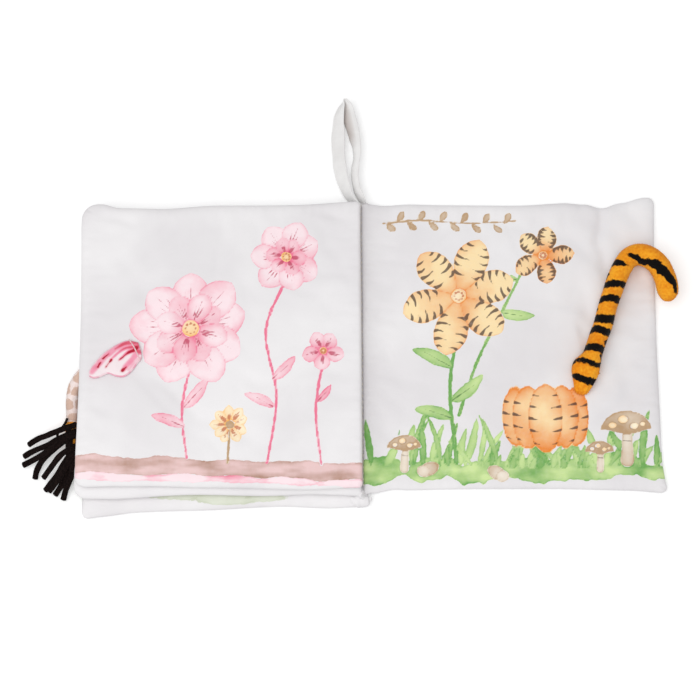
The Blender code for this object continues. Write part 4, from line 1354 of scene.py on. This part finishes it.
def flap_points(rows, columns):
    """Front and back of the flap: straight across between its two edges, crowned, and quilted."""
    upper = smooth_path(FLAP_UPPER, 24)
    lower = smooth_path(FLAP_LOWER, 24)
    u = (1 - np.cos(np.linspace(0, np.pi, rows))) / 2
    v = (1 - np.cos(np.linspace(0, np.pi, columns))) / 2
    edges = []
    for edge in (lower, upper):
        away = np.concatenate([[0], np.cumsum(np.hypot(*np.diff(edge, axis=0).T))])
        edges.append(np.stack([np.interp(u * away[-1], away, part) for part in edge.T], 1) / 1000)
    flat = edges[0][:, None] * (1 - v)[None, :, None] + edges[1][:, None] * v[None, :, None]
    broad = np.linalg.norm(edges[1] - edges[0], axis=1)[:, None] * 1000
    u, v = np.meshgrid(u, v, indexing="ij")
    rim = np.minimum.reduce([v * 16, (1 - v) * 16, (1 - u) * 34, u * 34 + 1.0])
    rise = nose(rim / 4.5)
    page = flat[..., 0] * 1000, flat[..., 1] * 1000
    streak = np.maximum.reduce([stroke(page, *drawn) for drawn in STREAKS])
    quilt = np.exp(-(((0.8 - streak).clip(0) / 1.6) ** 2))
    gathers = np.cos(v * 22) * np.exp(-u / 0.2)
    top = 0.0009 + FLAP_THICK * rise * (0.62 + 0.22 * np.sin(np.pi * v))
    top += (0.00022 * gathers - 0.00045 * quilt) * rise
    top += 0.00016 * ripple(flat[..., 0], flat[..., 1], 17, 0.008, 3) * rise
    low = 0.0009 - 0.0007 * rise
    blush = [deep * smoothstep(stroke(page, *drawn), -1.4, 1.8) for *drawn, deep in BLUSHES]
    return flat, top, low, {"rim": v * broad, "streak": streak, "blush": np.maximum.reduce(blush)}


FLAP_ROWS, FLAP_COLUMNS = 130, 96
flap_flat, flap_top, flap_low, flap_prints = flap_points(FLAP_ROWS, FLAP_COLUMNS)
flap_rows = np.linspace(0, FLAP_ROWS - 1, 14).astype(int)
flap_columns = np.linspace(0, FLAP_COLUMNS - 1, 10).astype(int)
flap_bed = np.array([[rest_height("leaf_3", *flap_flat[i, j]) for j in flap_columns] for i in flap_rows])
flap_bed = spline_sampled(flap_bed, np.linspace(0, 1, FLAP_ROWS), np.linspace(0, 1, FLAP_COLUMNS))
flap_front = np.concatenate([flap_flat, (flap_bed + 0.0001 + flap_top)[..., None]], -1)
flap_back = np.concatenate([flap_flat, (flap_bed + 0.0001 + flap_low)[..., None]], -1)


def flap_cloth():
    """Near-white cloth with a pink wash that deepens to red at the root, streaks and a thin outline."""
    dye = Dye("flap_cloth", 0.9, 0.15)
    mottle = dye.noise(0.004, 4.0)
    blush = dye.maths("ADD", dye.read("blush"), dye.ease(mottle, 0.2, 0.8, -0.16, 0.16))
    colour = dye.mix(dye.ease(blush, 0.05, 0.62), tint(241, 227, 230), tint(238, 152, 176))
    colour = dye.mix(dye.ease(blush, 0.55, 1.0), colour, tint(218, 84, 106))
    outline = dye.maths("ADD", dye.read("rim"), dye.ease(dye.noise(0.002), 0.2, 0.8, -0.35, 0.35))
    pressed = dye.ease(mottle, 0.4, 0.58, 0.2, 0.85)
    drawn = dye.maths("MULTIPLY", dye.ease(outline, 0.8, 1.3, 1.0, 0.0), pressed)
    colour = dye.mix(drawn, colour, tint(232, 140, 168))
    streak = dye.maths("ADD", dye.read("streak"), dye.ease(dye.noise(0.0015), 0.2, 0.8, -0.3, 0.3))
    colour = dye.mix(dye.ease(streak, -1.3, 0.1, 0.0, 0.4), colour, tint(226, 84, 110))
    colour = dye.mix(dye.ease(streak, -0.25, 0.35), colour, tint(178, 28, 54))
    return dye.finish(colour, (mottle, 0.00012), (dye.weave(0.0005), 0.00003))


flap_index = np.arange(FLAP_ROWS * FLAP_COLUMNS).reshape(FLAP_ROWS, FLAP_COLUMNS)
flap_mesh = np.concatenate([flap_front.reshape(-1, 3), flap_back[1:-1, 1:-1].reshape(-1, 3)])
flap_faces = [face[::-1] for face in pad_faces(flap_index, flap_index.size)]
pink_flap = add_piece("pink_flap", flap_mesh, flap_faces, flap_cloth())
for name, values in flap_prints.items():
    attribute(pink_flap, name, np.concatenate([values.ravel(), values[1:-1, 1:-1].ravel()]))
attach(pink_flap, "pink_tail")
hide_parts("pink_tail_front", "pink_tail_back", "pink_tail_wadding")

# A running stitch across the flap's root, in thick pale pink thread: its turns, in millimetres
STITCH_TURNS = (
    (-162.2, -0.6),
    (-160.3, -3.5),
    (-158.4, -6.5),
    (-156.9, -9.6),
    (-155.5, -12.8),
    (-154.2, -16.0),
)
STITCH_R = 0.0005
stitch_grids = []
for start, end in zip(STITCH_TURNS[:-1], STITCH_TURNS[1:]):
    share = np.linspace(0.03, 0.97, 20)[:, None]
    flat = (np.array(start) * (1 - share) + np.array(end) * share) / 1000
    away = np.hypot(flap_flat[..., 0] - flat[:, :1, None], flap_flat[..., 1] - flat[:, 1:, None])
    under = flap_front[..., 2].ravel()[away.reshape(len(flat), -1).argmin(axis=1)]
    lift = STITCH_R * (np.sin(np.pi * share[:, 0]) ** 0.5 * 1.6 - 0.9)
    path = np.concatenate([flat, (under.mean() + lift)[:, None]], axis=1)
    stitch_grids.append(swept(path, np.broadcast_to(round_section(8) * STITCH_R, (20, 8, 2))))
pink_thread = thread_finish("pink_thread", tint(243, 216, 218), tint(224, 178, 184))
flap_stitches = add_tubes("pink_flap_stitches", stitch_grids, pink_thread)
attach(flap_stitches, "leaf_3")
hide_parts("pink_tail_stitches")


# Spotted tail. A narrow stuffed tube of short pale plush with brown patches, sewn flat between the
# second and third leaves and drooping over their edge to the table. Orange cloth binds its end.

SPOTTED_R = 0.0045
SPOTTED_DROP = 0.0535
SPOTTED_OUT = 0.0142
SPOTTED_BED = 0.0056
SPOTTED_COLUMNS = 48
SPOTTED_BARE = 0.012

# Out beyond the root, down from it and how far sunk, then half width and half height, as shares
SPOTTED_SHARES = (
    (0.00, 0.00, 0.00, 0.95, 0.43),
    (0.06, 0.13, 0.00, 0.97, 0.44),
    (0.26, 0.25, 0.00, 0.99, 0.46),
    (0.54, 0.34, 0.03, 1.00, 0.60),
    (0.76, 0.44, 0.11, 0.99, 0.82),
    (0.88, 0.54, 0.25, 0.97, 0.96),
    (0.93, 0.65, 0.47, 0.95, 1.00),
    (0.93, 0.75, 0.74, 0.93, 1.00),
    (0.93, 0.82, 0.92, 0.92, 1.00),
    (0.93, 0.88, 1.00, 0.90, 0.96),
    (0.93, 0.93, 1.00, 0.88, 0.90),
)
out, down, sink, wide, tall = np.array(SPOTTED_SHARES).T
spotted_top = FOLD_Z - 0.0003
spotted_knots = np.stack(
    [
        TAIL_ROOT[0] - out * SPOTTED_OUT,
        TAIL_ROOT[1] - down * SPOTTED_DROP,
        spotted_top - sink * (spotted_top - SPOTTED_BED),
        wide * SPOTTED_R,
        tall * SPOTTED_R,
    ],
    axis=1,
)
spotted_path, spotted_s = even_path(spotted_knots, 0.0006)
spotted_round = round_section(SPOTTED_COLUMNS)[None] * spotted_path[:, None, 3:5]
spotted_around = np.arange(SPOTTED_COLUMNS)[None]
spotted_uneven = ripple(spotted_s[:, None], spotted_around * 0.0006, 19, 0.012, 3)
spotted_round = spotted_round * (1 + 0.03 * spotted_uneven[..., None])


# The patches' rows, from one to the next, and half a patch's width, in millimetres
PATCH_ROW = 9.3
PATCH_HALF = 3.9


def patch_field(s, angle):
    """How far inside a patch a place on the tube is, in millimetres.

    Patches are rounded squares, three round the tube in each row, and each row is turned a little.
    """
    s = s * 1000 + 2.2
    row = np.floor(s / PATCH_ROW)
    down = s - (row + 0.5) * PATCH_ROW
    turns = angle / (2 * np.pi) * 3 + 0.37 * row
    beside = (turns - np.floor(turns) - 0.5) * 2 * np.pi * SPOTTED_R * 1000 / 3
    wander = ripple(s, angle * 4, 18, 9, 2) * 0.5
    return PATCH_HALF + wander - (np.abs(down * 1.08) ** 3 + np.abs(beside) ** 3) ** (1 / 3)


spotted_tints = tint(242, 228, 224), tint(230, 211, 205), tint(212, 182, 166)
spotted_plush = plush("spotted_plush", *spotted_tints, "patch")
spotted_grid = swept(spotted_path[:, :3], spotted_round)
spotted_tube = add_tubes("spotted_tail_tube", [spotted_grid], spotted_plush)
patch_values = patch_field(spotted_s[:, None], spotted_around * 2 * np.pi / SPOTTED_COLUMNS)
attribute(spotted_tube, "patch", patch_values)
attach(spotted_tube, "spotted_tail")
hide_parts("spotted_tail_cover", "spotted_tail_filling")

# Nearer to the root than this the tail lies pressed between the leaves, so that no fibres stand there
outer = spotted_s > SPOTTED_BARE
patch_rows = {"patch": patch_values[outer]}
spotted_pile = pile("spotted_tail_pile", spotted_grid[outer], spotted_plush, 5000, 0.0009, 20, patch_rows)
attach(spotted_pile, "spotted_tail")

# The stitches that hold its root keep their own mesh, in the spine's thread
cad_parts["spotted_tail_tack"].data.materials.clear()
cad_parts["spotted_tail_tack"].data.materials.append(cream_thread)

# Orange cloth, gathered over the tail's end and closed at its tip
WRAP_LENGTH = 0.0215
WRAP_COLUMNS = 48
tail_end = spotted_path[-1, :3]
wrap_s = np.linspace(-0.0012, WRAP_LENGTH, 60)
wrap_path = tail_end + np.stack([0 * wrap_s, -wrap_s, 0 * wrap_s], axis=1)
wrap_r = SPOTTED_R * (0.99 - 0.35 * smoothstep(wrap_s, 0.006, WRAP_LENGTH))
wrap_r = wrap_r * np.sqrt(1 - (smoothstep(wrap_s, 0.010, WRAP_LENGTH) * 0.96) ** 3)
wrap_angle = np.arange(WRAP_COLUMNS) * 2 * np.pi / WRAP_COLUMNS
folds = 1 + 0.05 * np.cos(8 * wrap_angle[None] + 4 * wrap_s[:, None] / 0.01)
wrap_round = round_section(WRAP_COLUMNS)[None] * (wrap_r[:, None] * folds)[..., None]


def orange_binding():
    """Orange cloth with a fine weave, its tone wandering at random between deep and yellower orange."""
    dye = Dye("orange_binding", 0.85, 0.2)
    colour = dye.mix(dye.ease(dye.noise(0.003), 0.3, 0.7), tint(226, 124, 30), tint(244, 168, 52))
    return dye.finish(colour, (dye.noise(0.0012), 0.0002), (dye.weave(0.0005), 0.00005))


tail_binding = add_tubes("tail_binding", [swept(wrap_path, wrap_round)], orange_binding())
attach(tail_binding, "spotted_tail")
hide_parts("tail_wrap")


# Tassel. A band of black felt sewn on top of the orange cloth, with ten strips of the same felt
# fanning out to the left in two layers, sinking to the table and crossing as they go.

BAND_W = 0.005
BAND_T = 0.0024
BAND_COLUMNS = 32
STRIP_HALF_W = 0.0021
STRIP_T = 0.0008
SINK_RUN = 0.032

# Each strip's way, from the page's edge over the band to its tip, in millimetres
STRIP_WAYS = (
    ((-202, -67.5), (-208.5, -68.5), (-211.4, -65), (-208.9, -60.9), (-206.3, -57.2), (-204.7, -53.2)),
    ((-197.6, -58), (-205.4, -60.8), (-217.6, -64.8), (-224, -66.5), (-228.6, -68.4), (-232.4, -71)),
    ((-197.7, -62.1), (-206.9, -66.1), (-217.7, -71.4), (-225.8, -73.8), (-231, -75.8), (-235.8, -78.6)),
    ((-197.6, -64.4), (-205.1, -67.8), (-212.1, -73.2), (-219.4, -77.2), (-226.7, -80.9), (-235.9, -85)),
    ((-197.6, -65.2), (-204, -67.8), (-208.8, -71.4), (-220.3, -80.6), (-225.4, -88), (-227.0, -94.6)),
    ((-197.6, -73.0), (-203.3, -76.2), (-208.3, -79.8), (-215.4, -88.1), (-221, -94.8)),
    ((-198.2, -74), (-203.6, -81.2), (-207, -86.7), (-210.7, -92), (-220, -102.8)),
    ((-197.9, -76.6), (-201.9, -83), (-208.2, -93.1), (-211.9, -98), (-217.2, -103.8)),
    ((-198.1, -77.6), (-201.4, -84.7), (-203.5, -90.7), (-206.5, -96.7), (-213, -106)),
    ((-197.9, -79.5), (-200.1, -86.5), (-200.1, -91.8), (-204.9, -102.4), (-206.9, -109.6)),
)


def black_felt():
    """Black felt with a brown cast: matted fibres, a paler fuzz where light grazes it."""
    dye = Dye("black_felt", 0.95, 0.04)
    dye.shader.inputs["Specular IOR Level"].default_value = 0.05
    fibres = dye.noise(0.0005, 6.0)
    colour = dye.mix(dye.ease(fibres, 0.3, 0.75), tint(9, 5, 5), tint(32, 22, 20))
    return dye.finish(colour, (fibres, 0.00035), (dye.noise(0.00015, 2.0), 0.0001))


felt = black_felt()
band_low, band_high = (np.array(corner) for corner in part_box("tassel_band"))
band_y = np.linspace(band_low[1], band_high[1], 40)
band_middle = (band_low + band_high) / 2
band_path = np.stack([band_middle[0] + 0 * band_y, band_y, band_middle[2] + 0 * band_y], axis=1)
band_end = np.minimum(band_y - band_low[1], band_high[1] - band_y)
band_close = np.sqrt(1 - (1 - np.clip(band_end / 0.0009, 0, 1)) ** 2).clip(0.25)
band_round = round_section(BAND_COLUMNS, 3.5)[None] * np.array([BAND_W / 2, BAND_T / 2])
band_round = band_round * band_close[:, None, None]
band_uneven = ripple(band_y[:, None], np.arange(BAND_COLUMNS)[None] * 1e-4, 23, 0.004)
band_round = band_round * (1 + 0.03 * band_uneven[..., None])
tassel_felt_band = add_tubes("tassel_felt_band", [swept(band_path, band_round)], felt)
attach(tassel_felt_band, "tassel")
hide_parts("tassel_band")


def strip_path(way, upper):
    """A strip's way with its height, which falls with the distance beyond the band.

    The upper layer starts on top of the band and the lower one at its middle; they stay apart.
    """
    way = smooth_path(np.array(way) / 1000, 12)
    floor = (4 if upper else 1.5) * STRIP_T
    start = band_high[2] + 0.0003 + STRIP_T / 2 if upper else band_middle[2]
    away = np.hypot((band_low[0] - way[:, 0]).clip(0), (band_low[1] - way[:, 1]).clip(0))
    height = floor + (start - floor) * smoothstep(1 - away / SINK_RUN)
    return np.concatenate([way, height[:, None]], axis=1)


strip_grids = []
for index, way in enumerate(STRIP_WAYS):
    path, s = even_path(strip_path(way, index % 2 == 1), 0.0005)
    end = np.minimum(s, s[-1] - s)
    close = np.sqrt(1 - (1 - np.clip(end / 0.0005, 0, 1)) ** 2).clip(0.35)
    wide = STRIP_HALF_W * (0.45 if index == 0 else 1 + 0.06 * ripple(s, 0 * s, 30 + index, 0.012, 2))
    outline = round_section(20, 3.0)
    sections = outline[None] * np.stack([wide * close, STRIP_T / 2 * close], axis=1)[:, None]
    curl = 0.0003 * ripple(s[:, None], outline[None, :, 0] * 0.002, 40 + index, 0.01, 2)
    sections[..., 1] += curl * (s / s[-1])[:, None]
    strip_grids.append(swept(path, sections))
tassel_strips = add_tubes("tassel_strips", strip_grids, felt)
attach(tassel_strips, "tassel")
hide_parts(*[f"tassel_strip_{number:02d}" for number in range(1, 11)])


# Setting. A plain pale floor, one wide soft lamp above and to the left, an even white world, and
# the camera above the book's foot, looking down at 75 degrees.

FLOOR_HALF = 3.0
FLOOR_GLOW = 0.30
WORLD_STRENGTH = 0.55
TARGET = (-0.0095, -0.00145, 0.0)
DISTANCE = 1.54
ELEVATION = math.radians(75)
LENS = 112.8
SENSOR_W = 36
FLOOR_Z = -0.0001
LAMP_SIZE = 1.7
LAMP_POWER = 18.0
LAMP_PLACE = (-0.36, -0.42, 1.53)

floor_material = bpy.data.materials.new("pale_floor")
floor_material.use_nodes = True
floor_tree = floor_material.node_tree
floor_shader = floor_tree.nodes["Principled BSDF"]
floor_shader.inputs["Roughness"].default_value = 1.0
floor_shader.inputs["Specular IOR Level"].default_value = 0.0
floor_shader.inputs["Base Color"].default_value = (0.8, 0.8, 0.8, 1)
light_path = floor_tree.nodes.new("ShaderNodeLightPath")
seen = light_path.outputs["Is Camera Ray"]
for ray in ("Is Glossy Ray", "Is Transmission Ray"):
    either = floor_tree.nodes.new("ShaderNodeMath")
    either.operation = "MAXIMUM"
    floor_tree.links.new(seen, either.inputs[0])
    floor_tree.links.new(light_path.outputs[ray], either.inputs[1])
    seen = either.outputs[0]
glow = floor_tree.nodes.new("ShaderNodeEmission")
glow.inputs["Color"].default_value = (1, 1, 1, 1)
glow.inputs["Strength"].default_value = FLOOR_GLOW
added = floor_tree.nodes.new("ShaderNodeAddShader")
floor_tree.links.new(floor_shader.outputs[0], added.inputs[0])
floor_tree.links.new(glow.outputs[0], added.inputs[1])
chosen = floor_tree.nodes.new("ShaderNodeMixShader")
floor_tree.links.new(seen, chosen.inputs[0])
floor_tree.links.new(floor_shader.outputs[0], chosen.inputs[1])
floor_tree.links.new(added.outputs[0], chosen.inputs[2])
floor_out = floor_tree.nodes["Material Output"]
floor_tree.links.new(chosen.outputs[0], floor_out.inputs["Surface"])
corners = [(-1, -1), (1, -1), (1, 1), (-1, 1)]
floor_points = np.array([(x * FLOOR_HALF, y * FLOOR_HALF, FLOOR_Z) for x, y in corners])
floor = add_piece("floor", floor_points, [(0, 1, 2, 3)], floor_material)
floor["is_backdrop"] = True

world = bpy.data.worlds.new("studio")
world.use_nodes = True
background = world.node_tree.nodes["Background"]
background.inputs["Color"].default_value = (1, 1, 1, 1)
world_path = world.node_tree.nodes.new("ShaderNodeLightPath")
world_seen = world.node_tree.nodes.new("ShaderNodeMapRange")
world_seen.inputs["To Min"].default_value = WORLD_STRENGTH
world.node_tree.links.new(world_path.outputs["Is Camera Ray"], world_seen.inputs["Value"])
world.node_tree.links.new(world_seen.outputs[0], background.inputs["Strength"])
bpy.context.scene.world = world

lamp = bpy.data.lights.new("softbox", "AREA")
lamp.shape = "SQUARE"
lamp.size = LAMP_SIZE
lamp.energy = LAMP_POWER
softbox = bpy.data.objects.new("softbox", lamp)
softbox.location = LAMP_PLACE
towards = Vector(TARGET) - softbox.location
softbox.rotation_euler = towards.to_track_quat("-Z", "Y").to_euler()
bpy.context.scene.collection.objects.link(softbox)

camera = bpy.data.objects.new("camera", bpy.data.cameras.new("camera"))
camera.data.lens = LENS
camera.data.sensor_width = SENSOR_W
camera.location = (
    TARGET[0],
    TARGET[1] - DISTANCE * math.cos(ELEVATION),
    TARGET[2] + DISTANCE * math.sin(ELEVATION),
)
camera.rotation_euler = (math.pi / 2 - ELEVATION, 0, 0)
bpy.context.scene.collection.objects.link(camera)
bpy.context.scene.camera = camera
bpy.context.scene.view_settings.view_transform = "Standard"

low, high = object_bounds()
